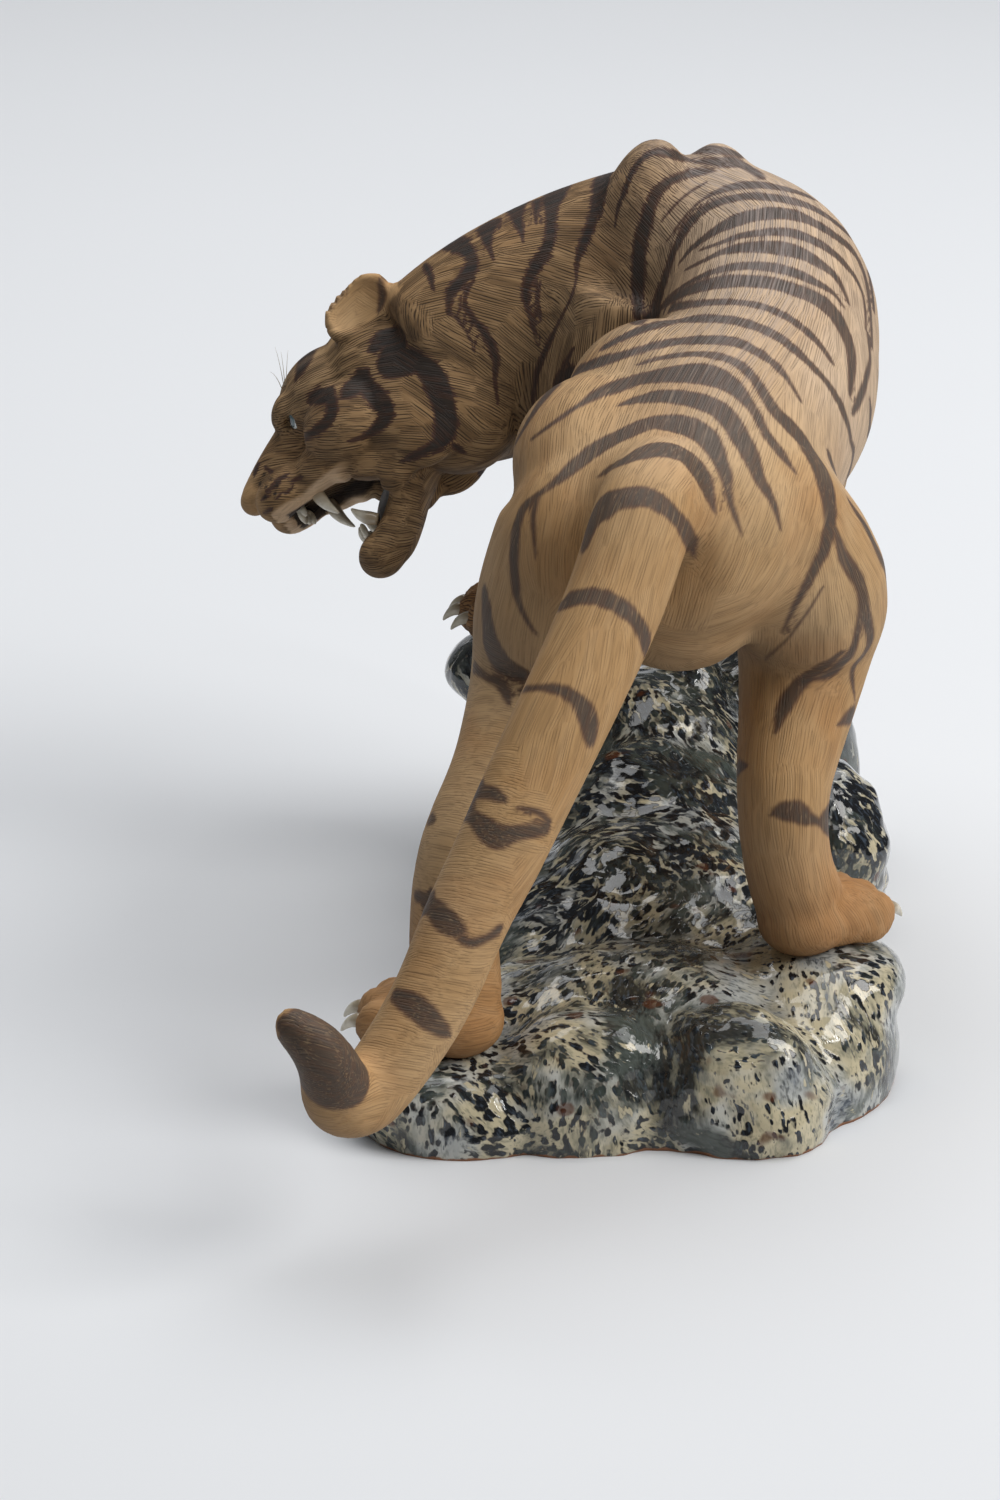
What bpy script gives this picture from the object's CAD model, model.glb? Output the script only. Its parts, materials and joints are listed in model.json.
"""Dresses the ceramic tiger and its rock: combed clay, painted stripes, glazes, teeth, claws and a studio."""

import json
import math
import random

import bmesh
import bpy
import numpy as np
from bpy.props import FloatProperty, FloatVectorProperty, IntProperty, PointerProperty
from mathutils import Euler, Matrix, Vector, noise
from mathutils.bvhtree import BVHTree

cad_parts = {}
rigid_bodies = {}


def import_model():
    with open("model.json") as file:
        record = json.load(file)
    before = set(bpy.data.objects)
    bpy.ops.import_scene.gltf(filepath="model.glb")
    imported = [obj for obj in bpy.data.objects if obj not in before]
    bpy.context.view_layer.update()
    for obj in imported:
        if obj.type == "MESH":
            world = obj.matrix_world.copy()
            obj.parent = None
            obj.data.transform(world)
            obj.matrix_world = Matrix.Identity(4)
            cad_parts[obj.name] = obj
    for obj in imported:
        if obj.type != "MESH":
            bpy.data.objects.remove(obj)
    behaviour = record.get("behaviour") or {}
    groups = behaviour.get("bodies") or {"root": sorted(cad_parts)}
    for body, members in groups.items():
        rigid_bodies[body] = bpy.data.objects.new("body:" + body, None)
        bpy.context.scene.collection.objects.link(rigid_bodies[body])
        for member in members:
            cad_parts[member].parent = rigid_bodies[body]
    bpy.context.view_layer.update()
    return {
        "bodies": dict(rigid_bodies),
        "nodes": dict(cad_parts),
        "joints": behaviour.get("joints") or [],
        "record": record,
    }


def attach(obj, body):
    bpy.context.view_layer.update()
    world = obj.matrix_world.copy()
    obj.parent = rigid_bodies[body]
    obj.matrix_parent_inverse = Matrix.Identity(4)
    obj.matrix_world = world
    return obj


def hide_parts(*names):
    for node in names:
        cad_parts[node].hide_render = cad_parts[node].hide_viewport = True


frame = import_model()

bl_info = {
    "name": "Ceramic tiger on a glazed rock",
    "version": (1, 0, 0),
    "blender": (4, 5, 0),
    "location": "3D View > Sidebar > Figurine",
    "description": "Models and finishes a ceramic tiger on its rock, piece by piece",
    "category": "Object",
}

BODY = "root"
MM = 0.001

# Camera: the photograph's frame in pixels, and where the camera stood.
PHOTO_WIDTH = 1000
PHOTO_HEIGHT = 1500
CAMERA_PLACE = (-0.040, -1.2224, 0.5208)
CAMERA_TILT = 70.0
LENS = 100.0
SENSOR = 36.0

# Sizes in millimetres, as the solids have them.
ROCK_HALF_WIDTH = 82.0
ROCK_HALF_LENGTH = 138.0
LEDGE_HEIGHT = 42.0
STEP_HEIGHT = 26.0
SUMMIT_HEIGHT = 78.0
CRAG_DEPTH = 4.0
CRAG_SPACING = 26.0
PAW_SINK = 2.0
HIP_HALF_WIDTH = 42.0
HIP_HALF_HEIGHT = 32.0
LOIN_HALF_WIDTH = 37.0
LOIN_HALF_HEIGHT = 34.0
CHEST_HALF_WIDTH = 35.0
CHEST_HALF_HEIGHT = 42.0
NECK_HALF_WIDTH = 29.0
NECK_HALF_HEIGHT = 39.0
THIGH_HALF_WIDTH = 25.0
SHANK_HALF_WIDTH = 17.0
CANNON_HALF_WIDTH = 13.5
SHOULDER_HALF_WIDTH = 22.0
FOREARM_HALF_WIDTH = 15.0
PAW_LENGTH = 44.0
PAW_WIDTH = 34.0
PAW_HEIGHT = 19.0
CLAW_LENGTH = 10.0
CLAW_RADIUS = 2.2
TAIL_ROOT_RADIUS = 15.5
TAIL_END_RADIUS = 10.6
TAIL_TIP_RADIUS = 6.2
HEAD_PLACE = (-73.0, 105.0, 146.6)
HEAD_HALF_WIDTH = 24.0
MUZZLE_HALF_WIDTH = 11.5
JAW_HALF_WIDTH = 10.5
EAR_HEIGHT = 17.0
EYE_RADIUS = 4.2
UPPER_FANG_LENGTH = 13.0
LOWER_FANG_LENGTH = 10.0
FANG_RADIUS = 2.3
INCISOR_LENGTH = 5.0
INCISOR_RADIUS = 1.3
TONGUE_LENGTH = 24.0

# Well outside the trunk, where a line starts that looks for its surface.
OUTSIDE = 90.0

# The paper sweep: how far it lies flat each way, and the radius of its bend.
PAPER_REACH = 3000.0
PAPER_BEND = 1000.0

# Spacings of the first rough skins, in millimetres.
BODY_VOXEL = 1.6
PAW_VOXEL = 1.0
ROCK_VOXEL = 2.0
TOOTH_VOXEL = 0.22

# Where the finely modelled head ends behind and below, how it blends out there, and how far it may be moved.
FINE_HEAD_BACK = -24.0
FINE_HEAD_LOW = -44.0
FINE_HEAD_BLEND = 14.0
FINE_HEAD_LOW_BLEND = 4.0
FINE_HEAD_REACH = 3.0

# Brush strokes: the widest half stroke, the jump that ends a run, and how far past the edge one is measured.
WIDEST_STROKE = 16.0
STROKE_JUMP = 9.0
PAINT_REACH = 8.0

# Directions of the head: the way the palate points, the tiger's left cheek, and the crown.
FORWARD = Vector((-0.857, -0.033, -0.515)).normalized()
LEFT = Vector((-0.290, -0.795, 0.534)).normalized()
CROWN = FORWARD.cross(LEFT).normalized()
LEFT = CROWN.cross(FORWARD)

# The left ear's middle in the head's frame, and how it is turned. The right ear mirrors it.
EAR_MIDDLE = (-11.5, 19.5, 38.5)
EAR_TURN = (-30, 17, 8)

# Where each paw stands: middle of the sole, its height, and its heading from +Y to the left.
PAWS = {
    "hind_left": ((-60.0, -109.0), STEP_HEIGHT, 62.0),
    "hind_right": ((55.5, -69.0), LEDGE_HEIGHT, -42.0),
    "front_left": ((-32.0, 104.0), SUMMIT_HEIGHT + 3.0, 80.0),
    "front_right": ((56.0, 118.0), SUMMIT_HEIGHT - 6.0, -8.0),
}

# Each leg's hip, and its bends: a share of the way down to the ankle, and what it adds to the line.
LEG_LINES = {
    "hind_right": ((36, -44, 166), (
        (0.20, 12, 8), (0.40, 10, 20), (0.55, 4, 8), (0.68, -2, -9), (0.86, -3, -7))),
    "hind_left": ((-16, -54, 164), (
        (0.20, 0, 10), (0.38, 1, 18), (0.52, -3, 2), (0.66, -10, -8), (0.84, -7, -3))),
    "front_left": ((2, 98, 196), ((0.28, -2, -6), (0.50, 2, -8), (0.78, 4, 0))),
    "front_right": ((50, 96, 196), ((0.28, 4, -4), (0.50, 4, -12), (0.78, 0, -4))),
}

# Trunk from the rump to the nape: place, half width, half height.
TRUNK = (
    (4, -92, 166, HIP_HALF_WIDTH * 0.50, HIP_HALF_HEIGHT * 0.62),
    (7, -78, 165, HIP_HALF_WIDTH * 0.86, HIP_HALF_HEIGHT * 0.92),
    (12, -55, 167, HIP_HALF_WIDTH, HIP_HALF_HEIGHT),
    (20, -27, 173, LOIN_HALF_WIDTH * 1.04, LOIN_HALF_HEIGHT),
    (31, 0, 178, LOIN_HALF_WIDTH, LOIN_HALF_HEIGHT * 1.03),
    (40, 28, 182, CHEST_HALF_WIDTH * 1.04, CHEST_HALF_HEIGHT * 0.89),
    (44.5, 58, 188, CHEST_HALF_WIDTH * 1.01, CHEST_HALF_HEIGHT * 0.97),
    (44, 86, 193, CHEST_HALF_WIDTH * 1.03, CHEST_HALF_HEIGHT * 1.03),
    (26, 110, 196, CHEST_HALF_WIDTH * 1.05, CHEST_HALF_HEIGHT * 1.03),
    (-3, 119, 189, NECK_HALF_WIDTH * 1.14, NECK_HALF_HEIGHT * 1.08),
    (-28, 118, 181, NECK_HALF_WIDTH * 1.02, NECK_HALF_HEIGHT * 1.02),
    (-50, 115, 171, NECK_HALF_WIDTH * 0.96, NECK_HALF_HEIGHT * 0.94),
    (-64, 112, 164, NECK_HALF_WIDTH * 0.84, NECK_HALF_HEIGHT * 0.84),
)
# Middle of the tail from its root to its tip.
TAIL = (
    (8, -66, 182), (1, -96, 182), (-8, -116, 162), (-20, -136, 141), (-33, -152, 118), (-41, -161, 103),
    (-49, -169, 89), (-58.5, -180, 69.5), (-68.5, -189, 55.5), (-77, -196, 47), (-83, -203, 50.5),
    (-85, -210, 61.5), (-89, -213, 70.5), (-94.5, -212, 74.5),
)

# Painted stripes, as brush strokes in the photograph's pixels: x, y and half the stroke's width, in turn.
BACK_STRIPES = (
    (600, 215, 3, 603, 190, 4, 608, 170, 4, 614, 156, 3),
    (608, 160, 3, 601, 180, 4, 597, 200, 5, 592, 222, 5, 583, 245, 5, 577, 262, 3, 576, 280, 1.6,
     570, 300, 1.6, 560, 320, 1.6, 548, 345, 3, 540, 365, 3, 535, 385, 2.5, 533, 402, 2),
    (690, 160, 2, 672, 154, 4, 655, 152, 3.5, 642, 159, 3, 632, 172, 3, 625, 190, 3, 618, 208, 2,
     615, 226, 1.2),
    (712, 171, 2, 698, 172, 4, 682, 176, 4, 668, 182, 5, 656, 193, 6, 650, 207, 6, 646, 222, 7,
     641, 240, 8, 639, 260, 7, 638, 280, 7, 638, 300, 6, 638, 324, 4),
    (688, 154, 2, 705, 149, 4, 722, 150, 4, 740, 155, 3, 752, 162, 2),
    (698, 161, 2, 720, 162, 5, 738, 163, 5, 752, 170, 4, 762, 178, 2),
    (661, 222, 1, 675, 205, 1.4, 690, 192, 1.4, 705, 183, 1.2),
    (668, 240, 1, 680, 223, 1.3, 692, 209, 1.5, 705, 198, 1.6, 722, 190, 3, 745, 185, 4, 770, 186, 4,
     800, 193, 3, 830, 207, 2, 850, 222, 1.5),
    (652, 318, 3, 658, 300, 4, 664, 283, 3.5, 670, 262, 3, 677, 245, 3.5, 686, 228, 4, 697, 215, 4,
     712, 205, 3.5, 730, 199, 3.5, 750, 196, 3.5, 775, 198, 4, 800, 203, 4, 822, 213, 3.5, 842, 228, 3.5,
     856, 244, 3.5, 866, 264, 3, 872, 290, 2.5, 874, 310, 2),
    (680, 262, 1.5, 690, 250, 2.5, 702, 240, 3, 718, 229, 4.5, 735, 221, 6, 752, 216, 6, 775, 213, 6,
     798, 216, 5, 820, 226, 4, 838, 238, 3.5, 852, 250, 3.5, 862, 268, 3, 868, 290, 2.5, 871, 320, 2,
     872, 345, 2),
    (700, 250, 1, 720, 243, 2, 740, 236, 2.5, 760, 233, 3.5, 785, 232, 4, 805, 237, 4, 825, 247, 3.5,
     842, 261, 3, 856, 279, 2.5, 864, 300, 1.5, 866, 330, 1.3),
    (685, 270, 1, 703, 261, 2, 725, 251, 3, 750, 247, 5, 778, 248, 7, 800, 253, 6, 817, 262, 4.5,
     833, 274, 3, 842, 287, 2, 848, 302, 1.3),
    (665, 300, 1.3, 680, 288, 1.6, 700, 277, 2.4, 722, 269, 3, 745, 266, 4, 770, 267, 4.5, 795, 273, 4.5,
     815, 282, 3.5, 832, 292, 2, 843, 306, 1.2),
    (655, 312, 1.5, 672, 299, 3, 692, 289, 4.5, 716, 283, 5.5, 745, 281, 6, 775, 284, 6, 798, 291, 6,
     820, 301, 6.5, 835, 315, 6, 845, 333, 5, 851, 352, 4, 852, 372, 3, 850, 392, 2),
    (640, 322, 2, 665, 310, 3, 695, 304, 3, 730, 302, 3, 760, 306, 3, 785, 316, 3, 805, 330, 3,
     820, 345, 2.5, 832, 362, 1.6),
    (605, 347, 3, 630, 334, 4, 660, 324, 4, 695, 319, 4, 730, 320, 4, 757, 327, 4, 778, 337, 4,
     795, 350, 3.5, 812, 366, 3, 828, 384, 2.5, 840, 404, 3, 848, 425, 2.5, 852, 445, 1.5),
    (516, 442, 2, 528, 421, 3, 540, 403, 4, 555, 386, 4.5, 575, 373, 5, 600, 362, 5, 620, 356, 4,
     650, 347, 3.5, 680, 341, 4, 705, 340, 5, 730, 341, 4.5, 750, 348, 4, 768, 359, 3.5, 782, 372, 3,
     792, 386, 2, 800, 400, 1.4),
    (640, 364, 1.5, 665, 357, 2.5, 700, 354, 3, 728, 359, 3.5, 745, 369, 4, 757, 383, 4, 766, 397, 4.5,
     776, 412, 5, 790, 426, 6, 803, 441, 7, 815, 458, 7.5, 824, 478, 7, 829, 500, 6.5, 830, 520, 6,
     826, 545, 5.5, 818, 562, 5, 808, 582, 4.5, 797, 602, 3.5, 788, 620, 2.5, 782, 633, 1.5),
    (533, 438, 1.5, 552, 424, 2, 575, 408, 2.5, 600, 393, 4, 628, 383, 6, 655, 376, 7, 682, 373, 9,
     708, 375, 10, 730, 385, 8, 746, 400, 5, 757, 416, 4, 765, 432, 3.5, 775, 446, 4, 786, 460, 3,
     795, 472, 1.5),
    (620, 405, 1.5, 640, 399, 4, 662, 396, 6, 685, 398, 7, 705, 403, 8, 722, 412, 8, 733, 425, 8,
     742, 440, 8, 750, 455, 7, 756, 470, 6, 762, 483, 5, 770, 496, 4, 776, 510, 3, 780, 527, 1.6),
    (655, 422, 6, 640, 427, 7, 620, 436, 7, 600, 447, 7, 582, 460, 6.5, 565, 474, 5, 550, 486, 3,
     535, 497, 3, 523, 509, 3.5, 517, 525, 4, 514, 545, 4.5, 514, 570, 4.5, 517, 595, 4, 524, 615, 3,
     535, 633, 2),
    (655, 422, 6, 680, 425, 9, 700, 433, 9, 712, 446, 8, 720, 461, 7, 726, 476, 6, 728, 490, 4.5,
     731, 505, 3.5, 736, 518, 3, 741, 533, 1.5),
    (600, 475, 1.5, 615, 465, 4, 632, 457, 6.5, 650, 450, 9, 668, 449, 10, 685, 456, 8.5, 697, 470, 8,
     705, 485, 6, 710, 498, 4.5, 715, 512, 2),
    (540, 492, 2, 535, 505, 2.6, 533, 520, 3, 534, 540, 2, 536, 556, 1.5),
    (868, 335, 2, 870, 360, 2, 866, 380, 2.5, 860, 398, 3, 853, 412, 2),
)
TAIL_BANDS = (
    (585, 545, 4, 592, 522, 7, 601, 509, 9, 613, 501, 10, 628, 497, 10, 645, 497, 10, 660, 503, 9,
     672, 513, 7, 682, 525, 6, 690, 540, 5, 694, 556, 2),
    (560, 606, 3, 572, 599, 6, 590, 596, 8, 608, 600, 9, 622, 608, 8, 635, 619, 7, 643, 633, 6,
     647, 648, 4),
    (520, 690, 2, 535, 688, 3, 550, 688, 5, 565, 692, 6, 577, 700, 8, 585, 712, 10, 590, 726, 9,
     591, 741, 5),
    (478, 791, 6, 492, 793, 8, 503, 799, 5),
    (468, 812, 5, 480, 824, 10, 496, 836, 13, 512, 834, 9, 530, 831, 8, 546, 829, 6),
    (520, 808, 3, 538, 812, 4, 549, 822, 4),
    (553, 850, 4, 547, 862, 6, 540, 875, 7, 533, 889, 4),
    (424, 900, 5, 436, 911, 11, 447, 922, 13, 458, 931, 8),
    (455, 936, 4, 470, 943, 5, 485, 939, 4, 499, 930, 4),
    (395, 995, 7, 410, 1003, 12, 425, 1015, 13, 440, 1028, 9, 449, 1035, 4),
    (288, 1026, 14, 312, 1032, 22, 333, 1046, 28, 345, 1066, 30, 338, 1088, 22),
)
LEG_STRIPES = (
    (484, 590, 3, 486, 610, 5, 488, 630, 6, 492, 648, 8, 500, 660, 9, 512, 668, 8, 523, 674, 6),
    (474, 668, 3, 485, 676, 4, 498, 683, 5, 506, 692, 6, 509, 703, 3),
    (857, 588, 1.5, 860, 610, 2.5, 858, 630, 3, 853, 648, 3, 845, 660, 3.5, 835, 669, 4, 822, 677, 4),
    (841, 652, 1.6, 828, 663, 3, 815, 672, 5, 803, 681, 6.5, 793, 692, 8, 786, 704, 8, 780, 716, 6,
     777, 730, 3),
    (876, 680, 3, 868, 697, 5, 858, 710, 5, 845, 720, 3, 838, 725, 1.5),
    (774, 813, 4, 783, 811, 9, 797, 812, 11, 806, 818, 8, 815, 820, 5),
    (818, 822, 4, 828, 820, 8, 836, 812, 6, 840, 804, 3),
    (730, 770, 3, 738, 768, 4, 745, 766, 3),
    (822, 588, 1.2, 811, 607, 1.4, 800, 622, 1.4, 790, 636, 1.4, 778, 648, 1.2, 765, 659, 1),
    (417, 896, 6, 428, 899, 6),
    (424, 818, 5, 433, 820, 5),
)
NECK_STRIPES = (
    (450, 243, 5, 462, 246, 8, 471, 257, 7, 470, 270, 7, 461, 281, 6, 452, 291, 6, 449, 302, 4,
     449, 312, 3),
    (474, 279, 2, 467, 291, 2.5, 465, 305, 3, 473, 318, 3.5, 483, 331, 4.5, 492, 346, 5, 496, 362, 4,
     495, 380, 2.5, 498, 402, 1.5),
    (452, 312, 2, 462, 325, 2, 470, 338, 1.6, 474, 352, 1.2),
    (425, 265, 4, 430, 275, 4, 433, 289, 2),
    (488, 226, 7, 487, 238, 6, 490, 250, 3, 494, 261, 1.5),
    (517, 206, 6, 517, 218, 6, 521, 230, 4, 523, 241, 1.5),
    (537, 200, 3, 536, 212, 3, 536, 223, 1.5),
    (557, 190, 7, 552, 205, 7, 551, 220, 6, 550, 238, 6, 545, 252, 7, 537, 264, 7, 531, 275, 6,
     526, 288, 5, 526, 300, 4, 530, 315, 3, 534, 330, 2.5, 537, 343, 1.6),
    (541, 282, 1.6, 537, 295, 2.6, 539, 310, 2.4, 541, 323, 1.4),
    (500, 221, 2, 500, 228, 1.5),
)
FACE_STRIPES = (
    (333.5, 301, 1.1, 331.5, 308, 0.5),
    (337.5, 297, 1.1, 336, 303, 0.5),
    (342, 293, 1.0, 341, 299, 0.4),
    (347, 289, 0.9, 346.5, 294, 0.4),
    (317, 332, 2, 312, 345, 5, 306, 357, 5, 301, 369, 4, 296, 380, 2),
    (309, 401, 2, 318, 396, 6, 327, 395, 8, 332, 405, 6, 331, 415, 6, 325, 424, 6, 316, 431, 5,
     306, 436, 3),
    (345, 395, 4, 352, 388, 8, 362, 381, 9, 372, 392, 10, 381, 402, 11, 386, 412, 9, 382, 422, 7,
     374, 430, 5, 362, 437, 3, 350, 441, 2),
    (359, 371, 4, 366, 372, 5),
    (374, 348, 6, 385, 338, 9, 398, 337, 8, 394, 352, 12, 388, 366, 11, 405, 362, 14, 420, 363, 11,
     432, 375, 13, 440, 392, 13, 445, 410, 12, 446, 428, 12, 440, 442, 8, 425, 451, 5, 412, 457, 4,
     402, 461, 2),
    (455, 446, 4, 462, 451, 3),
    (380, 283, 3.5, 383, 297, 4, 379, 310, 2.5),
)
MUZZLE_SPOTS = (
    (266, 468, 2.5, 272, 472, 2.5), (276, 481, 2.4, 285, 476, 2.6), (268, 490, 2.6, 277, 484, 3),
    (293, 481, 2, 301, 477, 2.2), (263, 499, 2, 268, 496, 2), (286, 493, 1.6, 292, 488, 1.6),
    (265, 513, 2.6, 271, 509, 2.4), (277, 498, 1.6, 281, 494, 1.6), (257, 466, 2, 255, 473, 2),
)
# The ear's outline, the whisker holes, and root and tip of each bristle of the brow, in the same pixels.
EAR_TRIM = ((316, 309), (328.8, 307.6), (332.1, 300), (345.9, 287.4), (361.1, 271.8), (371.1, 269.5),
            (381.2, 271.3), (385.7, 278.1), (387.3, 284.4), (402, 284.4), (402, 252), (316, 252))
WHISKER_HOLES = ((264, 474), (260, 484), (271, 479), (266, 487), (277, 486), (265, 497), (275, 494))
BRISTLES = ((285, 386, 281, 352), (284, 387, 275, 347), (286, 385, 288, 350), (282, 389, 270, 372))


def new_object(name, bm):
    """A mesh object from a bmesh in millimetres, its faces turned outwards."""
    bmesh.ops.recalc_face_normals(bm, faces=bm.faces)
    bmesh.ops.scale(bm, vec=(MM, MM, MM), verts=bm.verts)
    mesh = bpy.data.meshes.new(name)
    bm.to_mesh(mesh)
    bm.free()
    made = bpy.data.objects.new(name, mesh)
    bpy.context.scene.collection.objects.link(made)
    return made


def settle(piece):
    """The piece's modifiers become its mesh."""
    bpy.context.view_layer.update()
    evaluated = piece.evaluated_get(bpy.context.evaluated_depsgraph_get())
    mesh = bpy.data.meshes.new_from_object(evaluated)
    old = piece.data
    piece.modifiers.clear()
    piece.data = mesh
    bpy.data.meshes.remove(old)
    return piece


def remesh(piece, voxel, smoothing):
    """One skin over all the lumps of the piece, smoothed as a wet thumb would."""
    skin = piece.modifiers.new("skin", "REMESH")
    skin.mode = "VOXEL"
    skin.voxel_size = voxel * MM
    thumb = piece.modifiers.new("thumb", "SMOOTH")
    thumb.factor = 0.5
    thumb.iterations = smoothing
    return settle(piece)


def carve(piece, knives):
    """Takes the knives out of the piece and removes them."""
    for tool in knives:
        knife = piece.modifiers.new("knife", "BOOLEAN")
        knife.operation = "DIFFERENCE"
        knife.solver = "EXACT"
        knife.object = tool
    settle(piece)
    for tool in knives:
        bpy.data.objects.remove(tool)
    return piece


def keep_largest(piece):
    """Drops crumbs that a cut leaves behind."""
    bm = bmesh.new()
    bm.from_mesh(piece.data)
    left = set(bm.verts)
    islands = []
    while left:
        stack = [left.pop()]
        island = list(stack)
        while stack:
            for edge in stack.pop().link_edges:
                for end in edge.verts:
                    if end in left:
                        left.discard(end)
                        stack.append(end)
                        island.append(end)
        islands.append(island)
    islands.sort(key=len)
    for island in islands[:-1]:
        bmesh.ops.delete(bm, geom=island, context="VERTS")
    bm.to_mesh(piece.data)
    bm.free()
    return piece


def join(pieces, name):
    bm = bmesh.new()
    for piece in pieces:
        bm.from_mesh(piece.data)
        bpy.data.objects.remove(piece)
    bmesh.ops.scale(bm, vec=(1 / MM, 1 / MM, 1 / MM), verts=bm.verts)
    return new_object(name, bm)


def through(rows, steps):
    """Rows of numbers read from a smooth curve through the given rows, steps to a stretch."""
    smooth = []
    last = len(rows) - 1

    def between(p, q, r, s, t):
        square = (2 * p - 5 * q + 4 * r - s) * t * t
        return 0.5 * (2 * q + (r - p) * t + square + (3 * q - p - 3 * r + s) * t ** 3)

    for i in range(last):
        around = [rows[min(max(i + k, 0), last)] for k in (-1, 0, 1, 2)]
        for step in range(steps):
            smooth.append(tuple(between(*four, step / steps) for four in zip(*around)))
    smooth.append(tuple(rows[last]))
    return smooth


def limb(bm, rows, facing=(0.0, 0.0, 1.0), sides=24, steps=3):
    """A loft through oval sections. A row is x, y, z, half size across, half size along the facing side."""
    path = through(rows, steps)
    points = [Vector(row[:3]) for row in path]
    loops = []
    for i, row in enumerate(path):
        ahead = (points[min(i + 1, len(path) - 1)] - points[max(i - 1, 0)]).normalized()
        across = ahead.cross(Vector(facing)).normalized()
        over = across.cross(ahead)
        place = Matrix((across * row[3], over * row[4], ahead)).transposed().to_4x4()
        place.translation = points[i]
        ends = i in (0, len(path) - 1)
        made = bmesh.ops.create_circle(bm, cap_ends=ends, segments=sides, radius=1.0, matrix=place)
        loops.append(list({edge for vert in made["verts"] for edge in vert.link_edges}))
    for one, other in zip(loops, loops[1:]):
        bmesh.ops.bridge_loops(bm, edges=one + other)


def lump(bm, centre, radii, frame=Matrix.Identity(4), turn=(0.0, 0.0, 0.0), finer=4):
    """A rounded lump of clay, its radii along the frame's axes and turned in degrees."""
    spin = Euler([math.radians(angle) for angle in turn], "XYZ").to_matrix().to_4x4()
    place = frame @ Matrix.Translation(centre) @ spin @ Matrix.Diagonal((*radii, 1.0))
    bmesh.ops.create_icosphere(bm, subdivisions=finer, radius=1.0, matrix=place)


def head_frame():
    """Millimetres forward, to the tiger's left and towards its crown, from the middle of its skull."""
    place = Matrix((FORWARD, LEFT, CROWN)).transposed().to_4x4()
    place.translation = Vector(HEAD_PLACE)
    return place


def head_limb(bm, rows, sides=24, steps=3):
    place = head_frame()
    placed = [(*(place @ Vector(row[:3])), row[3], row[4]) for row in rows]
    limb(bm, placed, facing=place.to_3x3().col[2], sides=sides, steps=steps)


def paw_frame(name):
    """Millimetres forward, left and up from the middle of a paw's sole."""
    (x, y), height, heading = PAWS[name]
    turn = Matrix.Rotation(math.radians(90.0 + heading), 4, "Z")
    return Matrix.Translation((x, y, height - PAW_SINK)) @ turn


def toe_places():
    """Forward and sideways places of the four toes, outer toes set back."""
    for k in range(4):
        aside = (k - 1.5) * PAW_WIDTH * 0.245
        ahead = PAW_LENGTH * (0.30 if k in (1, 2) else 0.20)
        yield ahead, aside


def add_paw(bm, name):
    place = paw_frame(name)
    long, wide, high = PAW_LENGTH, PAW_WIDTH, PAW_HEIGHT
    lump(bm, (-long * 0.18, 0, high * 0.55), (long * 0.34, wide * 0.40, high * 0.62), place)
    lump(bm, (long * 0.06, 0, high * 0.50), (long * 0.34, wide * 0.47, high * 0.56), place)
    for ahead, aside in toe_places():
        radii = (long * 0.21, wide * 0.145, high * 0.46)
        lump(bm, (ahead, aside, high * 0.46), radii, place, (0, 12, aside * 0.9))


def leg_points(name):
    """The middle of a leg from the hip to the ankle."""
    hip, bends = LEG_LINES[name]
    hip = Vector(hip)
    ankle = paw_frame(name) @ Vector((-PAW_LENGTH * 0.20, 0, PAW_HEIGHT * 0.75))
    return [hip] + [hip.lerp(ankle, share) + Vector((x, y, 0)) for share, x, y in bends] + [ankle]


def leg_rows():
    """The four legs as rows for a loft."""
    thigh, shank, cannon = THIGH_HALF_WIDTH, SHANK_HALF_WIDTH, CANNON_HALF_WIDTH
    hind = ((thigh, 34.0), (thigh, 31.0), (shank * 1.22, 23.0), (shank, 17.5), (cannon * 1.05, 15.5),
            (cannon, 12.5), (cannon * 1.05, 13.0))
    shoulder, forearm = SHOULDER_HALF_WIDTH, FOREARM_HALF_WIDTH
    fore = ((shoulder, 28.0), (shoulder * 0.95, 27.0), (forearm * 1.2, 19.0), (forearm, 15.0),
            (forearm * 0.95, 14.0))
    legs = []
    for name in LEG_LINES:
        widths = hind if name.startswith("hind") else fore
        legs.append([(*point, *width) for point, width in zip(leg_points(name), widths)])
    return legs


def tail_rows():
    rows = []
    last = len(TAIL) - 1
    for i, point in enumerate(TAIL):
        radius = TAIL_ROOT_RADIUS + (TAIL_END_RADIUS - TAIL_ROOT_RADIUS) * min(1.0, i / (last - 4))
        if i > last - 3:
            radius -= (TAIL_END_RADIUS - TAIL_TIP_RADIUS) * (i - last + 3) / 3
        rows.append((*point, radius, radius))
    return rows


def tiger_body():
    bm = bmesh.new()
    limb(bm, TRUNK, sides=32)
    for centre, radii, turn in (
        ((6, 106, 218), (15, 20, 30), (0, 12, 0)),
        ((33, 112, 216), (15, 22, 29), (0, -8, 0)),
        ((40, -52, 160), (24, 30, 32), (0, -8, 0)),
        ((-18, -60, 158), (23, 30, 32), (0, 8, 0)),
        ((-12, -28, 179), (24, 38, 24), (0, -24, -12)),
        ((5, 6, 187), (25, 38, 24), (0, -24, -14)),
        ((12, -62, 144), (24, 28, 19), (0, 0, 0)),
        ((18, 124, 168), (30, 18, 24), (0, 0, 0)),
    ):
        lump(bm, centre, radii, turn=turn)
    for rows in leg_rows():
        limb(bm, rows, facing=(0.0, 1.0, 0.0))
    rows = tail_rows()
    limb(bm, rows, facing=(0.3, 1.0, 0.5), steps=4)
    lump(bm, rows[-1][:3], (TAIL_TIP_RADIUS, TAIL_TIP_RADIUS, TAIL_TIP_RADIUS * 1.2), turn=(0, -25, 0))
    return remesh(new_object("body", bm), BODY_VOXEL, 32)


def tiger_paws():
    bm = bmesh.new()
    for name in PAWS:
        add_paw(bm, name)
    return remesh(new_object("paws", bm), PAW_VOXEL, 5)


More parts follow.
